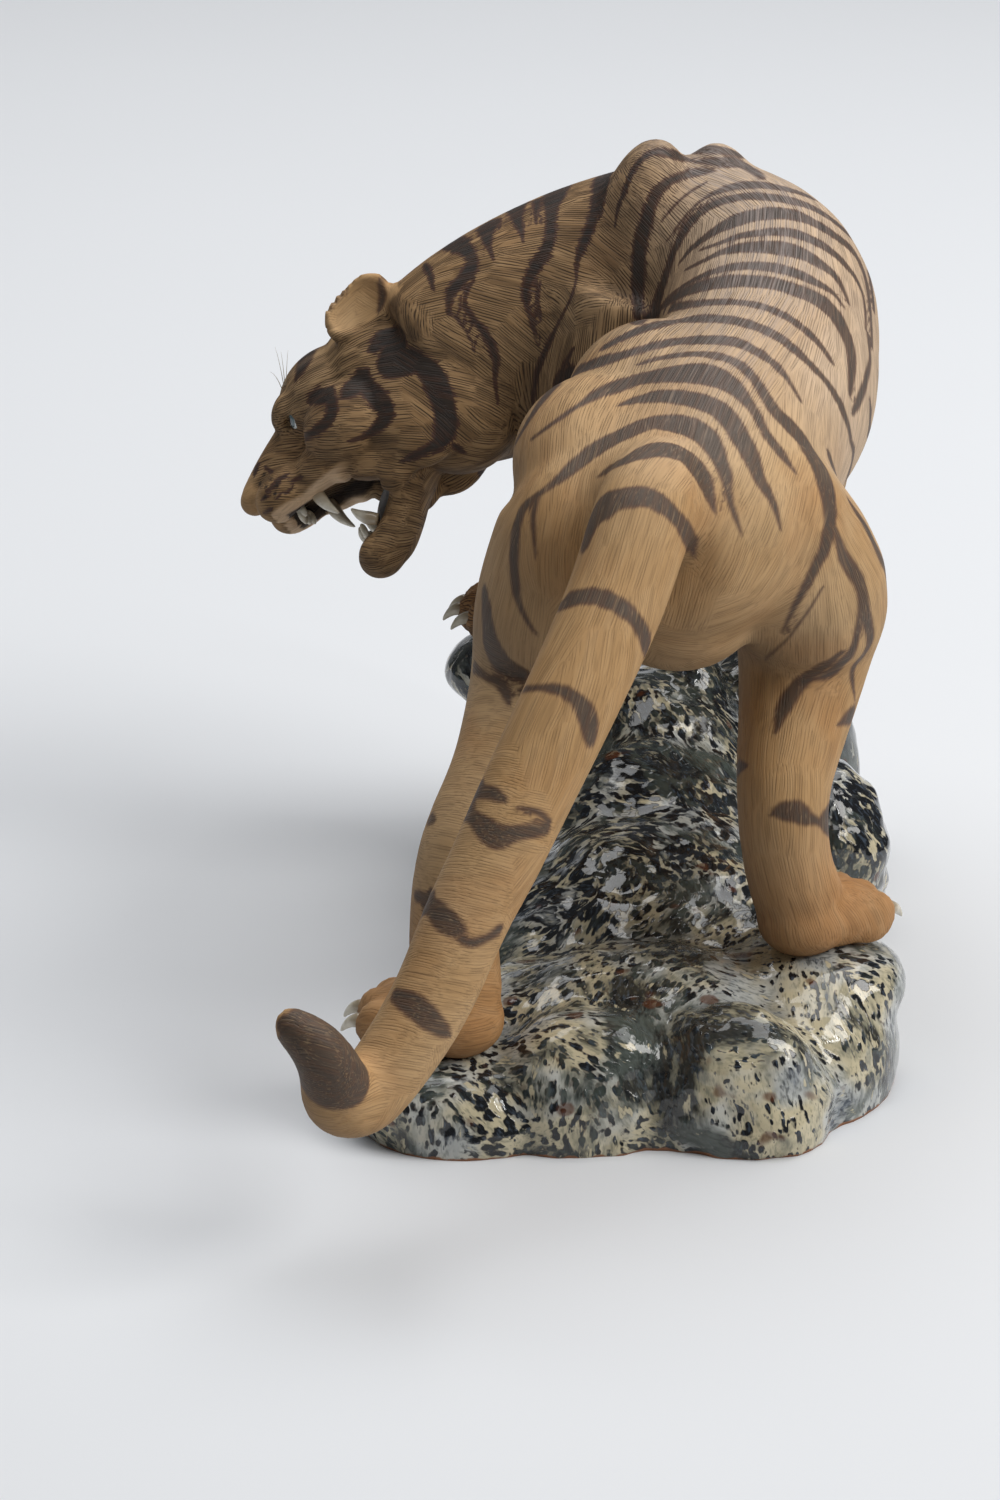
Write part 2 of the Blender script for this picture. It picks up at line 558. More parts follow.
def add_skull(bm):
    place = head_frame()
    wide = HEAD_HALF_WIDTH
    muzzle = MUZZLE_HALF_WIDTH
    lump(bm, (-6, 0, 21), (24, wide * 0.94, 24), place)
    lump(bm, (-22, 2, 6), (24, wide * 0.98, 30), place)
    lump(bm, (12, 0, 23), (21, wide * 0.80, 19.5), place)
    head_limb(bm, ((8, 0, 19, 17, 15), (22, 0, 17.5, 13, 13), (34, 0, 13.6, 9.5, 11), (44, 0, 9.2, 8, 9.5),
                   (52, 0, 5.8, 6.5, 7.5)))
    for side in (1, -1):
        for (ahead, aside, up), radii, (roll, pitch, yaw) in (
            ((40, muzzle * 0.52, 1.5), (12.5, muzzle * 0.66, 9), (0, 12, 6)),
            ((22, muzzle * 0.92, 1.5), (17, muzzle * 0.62, 9.5), (0, 10, -14)),
            ((12, wide * 0.72, 8), (15, wide * 0.32, 13), (0, 14, -12)),
            ((27.5, 8.5, 26), (8.0, 6.5, 5.2), (-14, 34, -12)),
            ((22.9, 14.1, 20.8), (5.6, 2.4, 5.4), (0, 0, -18)),
            ((-12, wide * 0.64, 4), (19, wide * 0.38, 25), (0, -12, 0)),
            ((0, wide * 0.56, -8), (9, wide * 0.24, 15), (0, -38, 0)),
            ((7, wide * 0.52, -6), (11.5, wide * 0.23, 10.5), (0, 0, 0)),
        ):
            lump(bm, (ahead, side * aside, up), radii, place, (side * roll, pitch, side * yaw))
    lump(bm, (53.0, 0, 7.6), (4.8, 6.0, 4.6), place, (0, 30, 0))


def add_jaw(bm):
    jaw = JAW_HALF_WIDTH
    head_limb(bm, ((-5, 0, -7, jaw * 1.6, 8), (4.5, 0, -17.5, jaw * 1.2, 6.4), (10.5, 0, -25, jaw, 6.2),
                   (17.5, 0, -30.5, jaw * 0.92, 6.9), (24.5, 0, -33, jaw * 0.74, 6.0)))
    lump(bm, (22.5, 0, -32.2), (8.4, jaw * 0.88, 7.2), head_frame(), (0, 20, 0))


def ear_turn(side):
    roll, pitch, yaw = EAR_TURN
    return side * roll, pitch, side * yaw


def add_ears(bm):
    ahead, aside, up = EAR_MIDDLE
    for side in (1, -1):
        lump(bm, (ahead, side * aside, up), (14.5, 4.2, EAR_HEIGHT * 0.62), head_frame(), ear_turn(side))


def hollow(name, centre, radii, turn=(0.0, 0.0, 0.0)):
    """A knife in the shape of a lump, set in the head's frame."""
    bm = bmesh.new()
    lump(bm, centre, radii, head_frame(), turn)
    return new_object(name, bm)


def mouth_knives():
    """The open mouth: a wedge between the lips, and a hollow behind them up to the palate."""
    place = head_frame()
    bm = bmesh.new()
    outline = ((8.5, -15.0), (24.5, -5.5), (34, -6.0), (60, -6.5), (60, -15), (31, -19.5), (18, -22.0))
    verts = [bm.verts.new(place @ Vector((ahead, -40.0, up))) for ahead, up in outline]
    across = bmesh.ops.extrude_face_region(bm, geom=[bm.faces.new(verts)])
    moved = [item for item in across["geom"] if isinstance(item, bmesh.types.BMVert)]
    bmesh.ops.translate(bm, vec=place.to_3x3() @ Vector((0, 80.0, 0)), verts=moved)
    return [new_object("mouth_wedge", bm),
            hollow("palate_hollow", (26, 0, -7.5), (21, MUZZLE_HALF_WIDTH * 0.72, 7.0)),
            hollow("throat_hollow", (10, 0, -14), (14, MUZZLE_HALF_WIDTH * 0.9, 8.0))]


def ear_trims():
    """Cuts along the outline that the photograph gives the ear, and the same on the other side."""
    place = head_frame()
    inverse = place.inverted()
    middle = (place @ Vector(EAR_MIDDLE)) * MM
    trims = []
    for name, side in (("left_ear_trim", 1.0), ("right_ear_trim", -1.0)):
        bm = bmesh.new()
        loops = []
        for near in (-0.011, 0.011):
            loop = []
            for x, y in EAR_TRIM:
                start, way = sight(x, y)
                local = inverse @ ((start + way * ((middle - start).length + near)) / MM)
                loop.append(bm.verts.new(place @ Vector((local.x, local.y * side, local.z))))
            loops.append(loop)
        bm.faces.new(loops[0])
        bm.faces.new(loops[1])
        for i in range(len(EAR_TRIM)):
            bm.faces.new((loops[0][i - 1], loops[0][i], loops[1][i], loops[1][i - 1]))
        bmesh.ops.recalc_face_normals(bm, faces=bm.faces)
        trims.append(new_object(name, bm))
    return trims


def eye_centres():
    return {"left_eye": (24.4, 11.0, 20.0), "right_eye": (24.4, -11.0, 20.0)}


def tiger_head(voxel):
    bm = bmesh.new()
    add_skull(bm)
    add_jaw(bm)
    add_ears(bm)
    head = remesh(new_object("head", bm), voxel, 10)
    knives = mouth_knives()
    for side, centre in zip((1, -1), eye_centres().values()):
        ahead, aside, up = centre
        knives.append(hollow("ear_hollow", (-11, side * 23.9, 39), (11.5, 4.8, EAR_HEIGHT * 0.46),
                             ear_turn(side)))
        knives.append(hollow("eye_hollow", (ahead + 4.4, aside + side * 1.4, up),
                             (EYE_RADIUS * 1.1, EYE_RADIUS * 0.75, EYE_RADIUS * 0.50), (0, 20, side * 30)))
    carve(head, knives + ear_trims())
    return remesh(head, voxel, 3)


def head_share(point):
    """How far a point in the head's frame belongs to the finely modelled head, from 0 to 1."""
    ahead = (point.x - FINE_HEAD_BACK) / FINE_HEAD_BLEND
    low = (point.z - FINE_HEAD_LOW) / FINE_HEAD_LOW_BLEND
    return min(1.0, max(0.0, min(ahead, low)))


def refine_head(skin, model):
    """The head's faces are divided and drawn onto the finer model of the head."""
    inverse = head_frame().inverted()
    tree = surface_tree(model)
    bm = bmesh.new()
    bm.from_mesh(skin.data)
    near = {vert for vert in bm.verts if head_share(inverse @ (vert.co / MM)) > 0}
    edges = [edge for edge in bm.edges if edge.verts[0] in near and edge.verts[1] in near]
    bmesh.ops.subdivide_edges(bm, edges=edges, cuts=1, use_grid_fill=True)
    for vert in bm.verts:
        share = head_share(inverse @ (vert.co / MM))
        if share > 0:
            place, _, _, distance = tree.find_nearest(vert.co)
            if distance < FINE_HEAD_REACH * MM:
                vert.co = vert.co.lerp(place, share)
    bm.to_mesh(skin.data)
    bm.free()
    bpy.data.objects.remove(model)


def make_tiger(settings):
    fine_head = tiger_head(settings.head_voxel / MM)
    head = bpy.data.objects.new("head_copy", fine_head.data.copy())
    bpy.context.scene.collection.objects.link(head)
    tiger = join([tiger_body(), tiger_paws(), head], "combed_tiger")
    remesh(tiger, settings.skin_voxel / MM, 3)
    keep_largest(tiger)
    refine_head(tiger, fine_head)
    tiger.data.shade_smooth()
    return tiger


def sight(x, y):
    """The camera's line of sight through a pixel of the photograph, in metres."""
    turn = Euler((math.radians(CAMERA_TILT), 0.0, 0.0)).to_matrix()
    scale = SENSOR / LENS / PHOTO_HEIGHT
    across = (x - PHOTO_WIDTH / 2) * scale
    down = (y - PHOTO_HEIGHT / 2) * scale
    return Vector(CAMERA_PLACE), turn @ Vector((across, -down, -1.0)).normalized()


def surface_tree(piece):
    return BVHTree.FromPolygons([vert.co for vert in piece.data.vertices],
                                [tuple(face.vertices) for face in piece.data.polygons])


def stroke_on(tree, stroke):
    """A brush stroke laid on the surface that the camera sees: runs of place, half width and normal."""
    dense = through([stroke[k:k + 3] for k in range(0, len(stroke), 3)], 5)
    runs = [[]]
    for i, (x, y, half) in enumerate(dense):
        nearest, after = dense[max(i - 1, 0)], dense[min(i + 1, len(dense) - 1)]
        along = Vector((after[0] - nearest[0], after[1] - nearest[1])).normalized()
        aside = Vector((-along.y, along.x)) * half
        hits = [tree.ray_cast(*sight(x + aside.x * k, y + aside.y * k)) for k in (0, 1, -1)]
        if hits[0][0] is None:
            continue
        place, normal = hits[0][0], hits[0][1]
        edges = [hit[0] for hit in hits[1:] if hit[0] is not None]
        flat = half * (place - Vector(CAMERA_PLACE)).length * SENSOR / LENS / PHOTO_HEIGHT / MM
        reach = sum((edge - place).length for edge in edges) / MM / max(1, len(edges)) if edges else flat
        width = min(reach, flat * 2.2, WIDEST_STROKE)
        if runs[-1] and (place - runs[-1][-1][0]).length > STROKE_JUMP * MM:
            runs.append([])
        runs[-1].append((place, width, normal))
    return [run for run in runs if run]


def mirrored(tree, run):
    """A stroke of one cheek repeated on the other, drawn onto the surface."""
    place = head_frame()
    inverse = place.inverted()
    turned = []
    for point, width, _ in run:
        local = inverse @ (point / MM)
        local.y = -local.y
        found = tree.find_nearest((place @ local) * MM)
        turned.append((found[0], width, found[1]))
    return turned


def paint(piece, tree):
    """How far every point is from the nearest painted edge and, with a side, from the stroke's middle."""
    runs = []
    for stroke in (*BACK_STRIPES, *TAIL_BANDS, *LEG_STRIPES, *NECK_STRIPES):
        runs += stroke_on(tree, stroke)
    for stroke in (*FACE_STRIPES, *MUZZLE_SPOTS):
        seen = stroke_on(tree, stroke)
        runs += seen + [mirrored(tree, run) for run in seen]
    runs += far_side_runs(tree)
    mesh = piece.data
    places, normals = surface(mesh)
    edge = np.full(len(places), PAINT_REACH, np.float32)
    aside = np.full(len(places), PAINT_REACH, np.float32)
    half = np.zeros(len(places), np.float32)
    for run in runs:
        points = np.array([place / MM for place, _, _ in run], np.float32)
        widths = np.array([width for _, width, _ in run], np.float32)
        facing = np.array(sum((normal for _, _, normal in run), Vector()).normalized(), np.float32)
        reach = widths.max() + PAINT_REACH
        low, high = points.min(0) - reach, points.max(0) + reach
        near = np.nonzero(((places > low) & (places < high)).all(1) & (normals @ facing > -0.5))[0]
        local = places[near]
        for k in range(max(1, len(points) - 1)):
            after = min(k + 1, len(points) - 1)
            start, span = points[k], points[after] - points[k]
            share = np.clip((local - start) @ span / max(1e-6, span @ span), 0.0, 1.0)
            away = local - start - share[:, None] * span
            gap = np.linalg.norm(away, axis=1)
            width = widths[k] + (widths[after] - widths[k]) * share
            nearer = gap - width < edge[near]
            chosen = near[nearer]
            turn = np.sign((np.cross(normals[chosen], span) * away[nearer]).sum(1))
            edge[chosen] = (gap - width)[nearer]
            aside[chosen] = gap[nearer] * np.where(turn == 0, 1, turn)
            half[chosen] = width[nearer]
    store(mesh, "painted_edge", edge)
    store(mesh, "aside", aside)
    store(mesh, "half_width", half)


def round_the_trunk(tree, station, angles, half):
    """A stripe round the trunk at a station from 0 at the rump to 1 at the nape. 0 degrees is the spine."""
    path = through(TRUNK, 6)
    run = []
    for angle, width in zip(angles, half):
        lean = station + 0.0006 * abs(angle)
        i = min(len(path) - 2, max(1, round(lean * (len(path) - 1))))
        middle = Vector(path[i][:3])
        ahead = (Vector(path[i + 1][:3]) - Vector(path[i - 1][:3])).normalized()
        right = ahead.cross(Vector((0, 0, 1))).normalized()
        up = right.cross(ahead)
        turn = math.radians(angle)
        way = up * math.cos(turn) + right * math.sin(turn)
        hit = tree.ray_cast((middle + way * OUTSIDE) * MM, -way)
        if hit[0] is not None:
            run.append((hit[0], width, hit[1]))
    return run


def far_side_runs(tree):
    """Stripes on the flank, breast and neck that the photograph doesn't show."""
    runs = []
    stations = random.Random(5)

    def add(station, angles, wide, shape):
        run = round_the_trunk(tree, station, angles, [wide * part for part in shape])
        if len(run) > 1:
            runs.append(run)

    tapered = (0.5, 0.9, 1, 0.9, 0.7, 0.5, 0.2)
    for k in range(13):
        start = 84 + stations.uniform(-4, 6)
        end = 138 + stations.uniform(-16, 12)
        angles = [start + (end - start) * t / 6 for t in range(7)]
        add(0.10 + 0.062 * k, angles, stations.uniform(1.6, 2.9), tapered)
    for k in range(5):
        add(0.20 + 0.075 * k, [-96 - 7 * t for t in range(7)], stations.uniform(1.5, 2.4), tapered)
    for k in range(5):
        add(0.74 + 0.055 * k, [12 + 13 * t for t in range(8)], stations.uniform(1.6, 2.6),
            (0.3, 0.8, 1, 1, 0.9, 0.7, 0.5, 0.2))
    return runs


def read(items, field, width=1, kind=np.float32):
    """One property of every item as an array, in rows where it has several numbers."""
    values = np.empty(len(items) * width, kind)
    items.foreach_get(field, values)
    return values.reshape(-1, width) if width > 1 else values


def surface(mesh):
    """Places in millimetres and normals of the mesh's points, as arrays."""
    return read(mesh.vertices, "co", 3) / MM, read(mesh.vertex_normals, "vector", 3)


def in_head_frame(places):
    """Places in millimetres forward, left and up from the middle of the skull."""
    inward = np.array(head_frame().inverted())
    return places @ inward[:3, :3].T + inward[:3, 3]


def ramp(values, start, span):
    """0 up to the start, 1 from a span beyond it, and straight between. A negative span falls."""
    return np.clip((values - start) / span, 0.0, 1.0)


def swell(piece, height):
    """Moves every point out along its normal by the height, in millimetres, that the function gives there."""
    places, normals = surface(piece.data)
    rise = np.array([height(Vector(place)) for place in places.tolist()], np.float32)
    piece.data.vertices.foreach_set("co", ((places + normals * rise[:, None]) * MM).ravel())
    piece.data.update()


def store(mesh, name, values, kind="FLOAT", domain="POINT"):
    attribute = mesh.attributes.new(name, kind, domain)
    field = "vector" if kind == "FLOAT_VECTOR" else "value"
    attribute.data.foreach_set(field, np.ascontiguousarray(values, np.float32).ravel())


def spread_seeds(places, count):
    """Seeds spread evenly over the points, each the farthest from those before it, and closer on the head."""
    local = in_head_frame(places)
    weight = 1.0 + 0.9 * ramp(local[:, 0], -30.0, 20.0) * (local[:, 2] > -45.0)
    chosen = [0]
    gap = np.linalg.norm(places - places[0], axis=1)
    while len(chosen) < count:
        chosen.append(int((gap * weight).argmax()))
        gap = np.minimum(gap, np.linalg.norm(places - places[chosen[-1]], axis=1))
    return chosen


def comb(piece, flow, seeds, spacing, stroke):
    """Comb strokes: overlapping tufts, each with its own straight strokes along the flow.

    Every face corner gets its place in its two nearest tufts, in strokes across and along, and its share of
    the second.
    """
    mesh = piece.data
    places, normals = surface(mesh)
    chosen = spread_seeds(places, seeds)
    luck = random.Random(3)
    tufts = []
    for i in chosen:
        normal = Vector(normals[i].tolist()).normalized()
        ahead = flow(Vector(places[i].tolist()), normal)
        ahead = (ahead - normal * ahead.dot(normal)).normalized()
        across = normal.cross(ahead)
        shift = [luck.uniform(0, 50) for _ in range(3)]
        tufts.append((np.array((across / spacing, normal / spacing, ahead / stroke), np.float32), shift))
    turns = np.array([tuft[0] for tuft in tufts])
    shifts = np.array([tuft[1] for tuft in tufts], np.float32)
    centres = places[chosen]

    faces = len(mesh.polygons)
    corners = read(mesh.loops, "vertex_index", kind=np.int64)
    sizes = read(mesh.polygons, "loop_total", kind=np.int64)
    middles = read(mesh.polygons, "center", 3) / MM
    first = np.zeros(faces, np.int64)
    second = np.zeros(faces, np.int64)
    gap_one = np.full(faces, 1e9, np.float32)
    gap_two = np.full(faces, 1e9, np.float32)
    for k, centre in enumerate(centres):
        gap = np.linalg.norm(middles - centre, axis=1)
        nearer = gap < gap_one
        between = ~nearer & (gap < gap_two)
        second[nearer], gap_two[nearer] = first[nearer], gap_one[nearer]
        first[nearer], gap_one[nearer] = k, gap[nearer]
        second[between], gap_two[between] = k, gap[between]
    first, second = np.repeat(first, sizes), np.repeat(second, sizes)
    points = places[corners]
    for name, owner in (("tuft_one", first), ("tuft_two", second)):
        local = np.einsum("nij,nj->ni", turns[owner], points - centres[owner]) + shifts[owner]
        store(mesh, name, local, "FLOAT_VECTOR", "CORNER")
    near = np.linalg.norm(points - centres[first], axis=1)
    far = np.linalg.norm(points - centres[second], axis=1)
    share = np.clip(0.5 - (far - near) / 4.0, 0.0, 1.0)
    store(mesh, "second_tuft", share, domain="CORNER")


def guides():
    """Centre lines along which the fur lies: nose to tail tip, and down each leg."""
    place = head_frame()
    spine = [place @ Vector((ahead, 0, up)) for ahead, up in ((56, 6), (40, 8), (20, 12), (0, 16), (-18, 14))]
    spine += [Vector(row[:3]) for row in reversed(TRUNK[1:])]
    spine += [Vector(point) for point in TAIL[2:]]
    lines = [spine] + [[Vector(row[:3]) for row in rows[1:]] for rows in leg_rows()]
    samples = []
    for number, line in enumerate(lines):
        smooth = [Vector(point) for point in through([tuple(point) for point in line], 4)]
        for one, other in zip(smooth, smooth[1:]):
            samples.append(((one + other) / 2, (other - one).normalized(), number))
    return samples


def fur_flow():
    """The way the fur is combed at a point: back along the spine, down the flanks and down the legs."""
    samples = guides()
    inverse = head_frame().inverted()

    def flow(point, normal):
        best = None
        for middle, ahead, number in samples:
            gap = (point - middle).length * (1.0 if number == 0 else 1.15)
            if best is None or gap < best[0]:
                best = (gap, ahead, number, middle)
        _, ahead, number, middle = best
        local = inverse @ point
        if local.x > -14.0:
            cheek = min(1.0, max(0.0, (30.0 - local.z) / 14.0))
            jaw = min(1.0, max(0.0, (-8.0 - local.z) / 10.0))
            ahead = -FORWARD - CROWN * (0.55 * cheek + 0.35 * jaw)
        elif number == 0 and point.z > 120:
            side = 1.0 - abs(normal.z)
            ahead = ahead + Vector((0, 0, -1.25)) * side
        return ahead.normalized()
    return flow


def cavity(piece, rounds, name):
    """How deep each point lies in a fold, in millimetres: the gap to the smoothed skin along the normal."""
    mesh = piece.data
    places, normals = surface(mesh)
    ends = read(mesh.edges, "vertices", 2, np.int64)
    links = np.bincount(ends.ravel(), minlength=len(places)).astype(np.float32)
    smooth = places.copy()
    for _ in range(rounds):
        total = np.empty_like(smooth)
        for axis in range(3):
            total[:, axis] = (np.bincount(ends[:, 0], smooth[ends[:, 1], axis], len(places))
                              + np.bincount(ends[:, 1], smooth[ends[:, 0], axis], len(places)))
        smooth = total / links[:, None]
    store(mesh, name, ((smooth - places) * normals).sum(1))


def sum_method(operation, swapped=False):
    """A method of a signal that makes a maths node of it, before or after the other value."""
    def method(self, other=0.0):
        ends = (other, self) if swapped else (self, other)
        return self.finish.maths(operation, *ends)
    return method


class Signal:
    """A shader socket that can stand in a sum."""

    __add__ = sum_method("ADD")
    __radd__ = sum_method("ADD", swapped=True)
    __sub__ = sum_method("SUBTRACT")
    __rsub__ = sum_method("SUBTRACT", swapped=True)
    __mul__ = sum_method("MULTIPLY")
    __rmul__ = sum_method("MULTIPLY", swapped=True)
    __abs__ = sum_method("ABSOLUTE")

    def __init__(self, finish, socket):
        self.finish = finish
        self.socket = socket


class Finish:
    """A material, and the one method that adds nodes to it. A text in place of a value names a setting."""

    def __init__(self, name, settings):
        self.material = bpy.data.materials.new(name)
        self.material.use_nodes = True
        self.settings = settings
        self.tree = self.material.node_tree
        self.shader = self.tree.nodes["Principled BSDF"]

    def node(self, kind, settings=None, sockets=None, output=0):
        made = self.tree.nodes.new(kind)
        for key, value in (settings or {}).items():
            setattr(made, key, value)
        for key, value in (sockets or {}).items():
            self.plug(made.inputs[key], value)
        return Signal(self, made.outputs[output])

    def plug(self, socket, value):
        if isinstance(value, str):
            value = tuple(getattr(self.settings, value))
        if isinstance(value, Signal):
            self.tree.links.new(value.socket, socket)
        elif socket.type == "RGBA":
            socket.default_value = (*value, 1.0)
        else:
            socket.default_value = value

    def set(self, **values):
        """Values or links for the shader's own sockets."""
        for key, value in values.items():
            self.plug(self.shader.inputs[key.replace("_", " ")], value)

    def attribute(self, name, output=2):
        return self.node("ShaderNodeAttribute", {"attribute_name": name}, output=output)

    def object_place(self):
        return self.node("ShaderNodeTexCoord", output=3)

    def maths(self, operation, one, other=0.0):
        return self.node("ShaderNodeMath", {"operation": operation}, {0: one, 1: other})

    def noise(self, place, scale=1.0, detail=2.0, rough=0.5, distortion=0.0, output=0):
        sockets = {"Vector": place, "Scale": scale, "Detail": detail, "Roughness": rough,
                   "Distortion": distortion}
        return self.node("ShaderNodeTexNoise", None, sockets, output)

    def stretch(self, vector, scale):
        return self.node("ShaderNodeVectorMath", {"operation": "MULTIPLY"}, {0: vector, 1: scale})

    def step(self, value, low, high):
        """0 below low, 1 above high and smooth between, or the other way round where low is above high."""
        if low > high:
            return 1.0 - self.step(value, high, low)
        smooth = {"interpolation_type": "SMOOTHSTEP"}
        return self.node("ShaderNodeMapRange", smooth, {0: value, 1: low, 2: high})

    def mix(self, share, one, other):
        return self.node("ShaderNodeMix", {"data_type": "RGBA"}, {0: share, 6: one, 7: other}, output=2)

    def coats(self, colour, *layers):
        """Coats laid over a colour one after another, each where its share says."""
        for share, coat in layers:
            colour = self.mix(share, colour, coat)
        return colour

    def number_mix(self, share, one, other):
        return self.node("ShaderNodeMix", {"data_type": "FLOAT"}, {0: share, 2: one, 3: other})

    def bump(self, height, depth):
        return self.node("ShaderNodeBump", sockets={"Distance": depth, "Height": height})


def crossing(finish, pattern):
    """A pattern drawn in each tuft's own frame, crossing over from each tuft to its neighbour."""
    one = pattern(finish.attribute("tuft_one", 1))
    two = pattern(finish.attribute("tuft_two", 1))
    return finish.number_mix(finish.attribute("second_tuft"), one, two)


def tufted(finish, scale, detail):
    """Noise along the comb strokes."""
    return crossing(finish, lambda place: finish.noise(finish.stretch(place, scale), 1.0, detail))


def comb_lines(finish):
    """Grooves of a comb, 1 in the groove: evenly spaced, drifting a little, each fading in and out."""
    def lines(place):
        drift = finish.noise(finish.stretch(place, (0.14, 0.14, 0.35)), 1.0, 2.0)
        across = finish.node("ShaderNodeSeparateXYZ", sockets={0: place})
        wave = finish.maths("SINE", (across + drift * 4.0) * math.tau)
        strength = finish.noise(finish.stretch(place, (0.7, 0.7, 0.8)), 1.0, 2.0)
        return finish.step(wave, 0.0, 0.95) * finish.step(strength, 0.34, 0.58)
    return crossing(finish, lines)


def clay_finish(settings):
    """Fired clay with a wash in its grooves and folds, and brown paint drawn out along the hairs."""
    finish = Finish("combed_clay", settings)
    step = finish.step
    place = finish.object_place()
    grooves = comb_lines(finish)
    strokes = tufted(finish, (0.9, 0.9, 0.9), 1.5)
    locks = tufted(finish, (0.25, 0.25, 0.4), 2.0)
    patches = finish.noise(place, 16.0, 3.0)
    blush = finish.noise(place, 38.0, 2.0)
    combed = finish.attribute("combed")
    half = finish.attribute("half_width")
    nearest = finish.attribute("painted_edge")
    thin = finish.maths("MAXIMUM", abs(finish.attribute("aside")) - half, nearest - 0.6)
    edge = finish.number_mix(step(half, 1.3, 2.0), thin, nearest - 0.15)

    clay = finish.coats(
        "clay",
        (step(patches, 0.35, 0.68), "pale_clay"),
        (step(blush, 0.45, 0.75) * 0.4, "warm_clay"),
        (finish.attribute("worn"), "worn_clay"),
        (combed * combed * 0.55, "brushed_clay"),
        (finish.attribute("warm") * 0.85, "warm_clay"),
        (step(locks, 0.40, 0.66) * 0.22, "pale_clay"),
        (step(locks, 0.60, 0.30) * combed * 0.50, "wash"),
        (grooves * combed * 0.82, "wash"),
        (step(strokes, 0.52, 0.36) * 0.16, "wash"),
        (step(finish.attribute("fold"), 0.3, 2.2) * 0.8, "wash"),
    )

    hairs = tufted(finish, (1.7, 1.7, 0.55), 2.0)
    fringe = 0.12 + 0.88 * combed * combed
    narrow = 0.35 + 0.65 * step(half, 0.6, 2.2)
    waver = (hairs - 0.5) * settings.raggedness * fringe + (locks - 0.5) * (1.8 - 0.8 * combed)
    ragged = edge + waver * narrow
    broad = step(half, 0.7, 2.0)
    ragged = ragged - grooves * combed * broad * 1.2
    soft = 1.0 - 0.70 * combed
    paint = finish.node("ShaderNodeMapRange", {"interpolation_type": "SMOOTHSTEP"}, {
        0: ragged, 1: soft, 2: 0.0 - soft, 3: 0.0, 4: 1.0})
    brushed = step(tufted(finish, (0.55, 0.55, 0.2), 3.0), 0.36, 0.60)
    core = step(edge + (locks - 0.5) * 1.6, -0.5, -1.9) * step(brushed, 1.2, 0.2)
    brown = finish.coats(
        finish.mix(combed, "thin_paint", "paint"),
        (step(edge, -1.3, -0.2) * 0.6, "rusty_paint"),
        (brushed * 0.25, "rusty_paint"),
        (core * 0.8, finish.mix(combed, "thin_core", "core_paint")),
        (step(hairs, 0.52, 0.74) * (0.34 - 0.32 * combed), "pale_clay"),
    )
    colour = finish.coats(
        clay,
        (paint * (0.86 + 0.09 * combed), brown),
        (grooves * combed * 0.3, "wash"),
        (finish.attribute("spine") * step(hairs, 0.38, 0.66) * 0.55, "spine_wash"),
        (finish.attribute("shaded") * 0.60, "wash"),
        (finish.attribute("dark"), "hole"),
    )
    relief = finish.bump((1.0 - grooves) * combed + locks * 0.6, 0.00040)
    finish.set(Base_Color=colour, Roughness=0.60 + 0.15 * (1.0 - paint), Normal=relief)
    finish.set(Specular_IOR_Level=0.35)
    return finish.material


def shade_tiger(piece, tree):
    """Attributes that vary the clay: combed, washed, worn and warm places, and dark holes."""
    mesh = piece.data
    places, normals = surface(mesh)
    x, y, z = places.T
    ahead, aside, up = in_head_frame(places).T
    aside = np.abs(aside)
    low = ramp(z, 190.0, -60.0)
    combed = 0.22 + 0.78 * ramp(y, -70.0, 130.0) * np.maximum(0.35, ramp(x, 50.0, -50.0))
    outward = np.array(head_frame().to_3x3() @ Vector((0.35, 0.9, 0)))
    ear = ramp(up, 33.0, 3.0) * ramp(aside, 12.0, 3.0)
    ear *= (ahead > -27.0) * np.clip(normals @ outward + 0.6, 0, 1)
    nose = ramp(ahead, 47.0, 3.0) * (up > -12.0)
    lips = np.clip(3.0 - np.abs(up + 6.5), 0, 1) * ramp(ahead, 16.0, 6.0)
    lips *= ahead < 48.0
    smooth = np.clip(np.maximum(np.maximum(ear * 1.4, nose), lips), 0, 1)
    store(mesh, "combed", combed * (1.0 - 0.85 * smooth))
    ridge = ramp(z, 188.0, 34.0) * ramp(x, -15.0, 40.0)
    flank = np.clip(normals[:, 0] * 1.6, 0, 1) * ramp(z, 110.0, 50.0) * 0.75
    flank *= ramp(x, 10.0, 30.0) * ramp(y, -55.0, 40.0)
    store(mesh, "spine", ramp(normals[:, 2], 0.72, 0.22) * ridge)
    under = np.clip(0.20 - normals[:, 0] * 0.55 - normals[:, 2] * 0.75, 0, 1)
    store(mesh, "shaded", under * (1.0 - lips) * (x < 60.0))
    store(mesh, "worn", np.maximum(np.maximum(ridge * (1.0 - low) * 0.8, flank), lips * 0.5))
    warm = np.zeros(len(places), np.float32)
    for name in PAWS:
        middle = np.array(paw_frame(name).translation)
        gap = np.linalg.norm(places - middle, axis=1)
        warm = np.maximum(warm, np.clip(1.4 - gap / 38.0, 0.0, 1.0))
    store(mesh, "warm", warm)
    dark = np.zeros(len(places), np.float32)
    for hole in WHISKER_HOLES:
        hit = tree.ray_cast(*sight(*hole))
        if hit[0] is not None:
            for centre in (hit[0], mirrored(tree, [(hit[0], 1.0, hit[1])])[0][0]):
                gap = np.linalg.norm(places - np.array(centre) / MM, axis=1)
                dark = np.maximum(dark, np.clip(1.7 - gap * 1.6, 0.0, 1.0))
    mouth = np.clip(np.minimum(-up - 0.5, up + 20.0) / 2.0, 0, 1)
    inside = np.clip(MUZZLE_HALF_WIDTH * 0.76 - aside, 0, 1) * (ahead > -2) * (ahead < 44)
    dark = np.maximum(dark, mouth * inside * 0.95)
    store(mesh, "dark", dark)


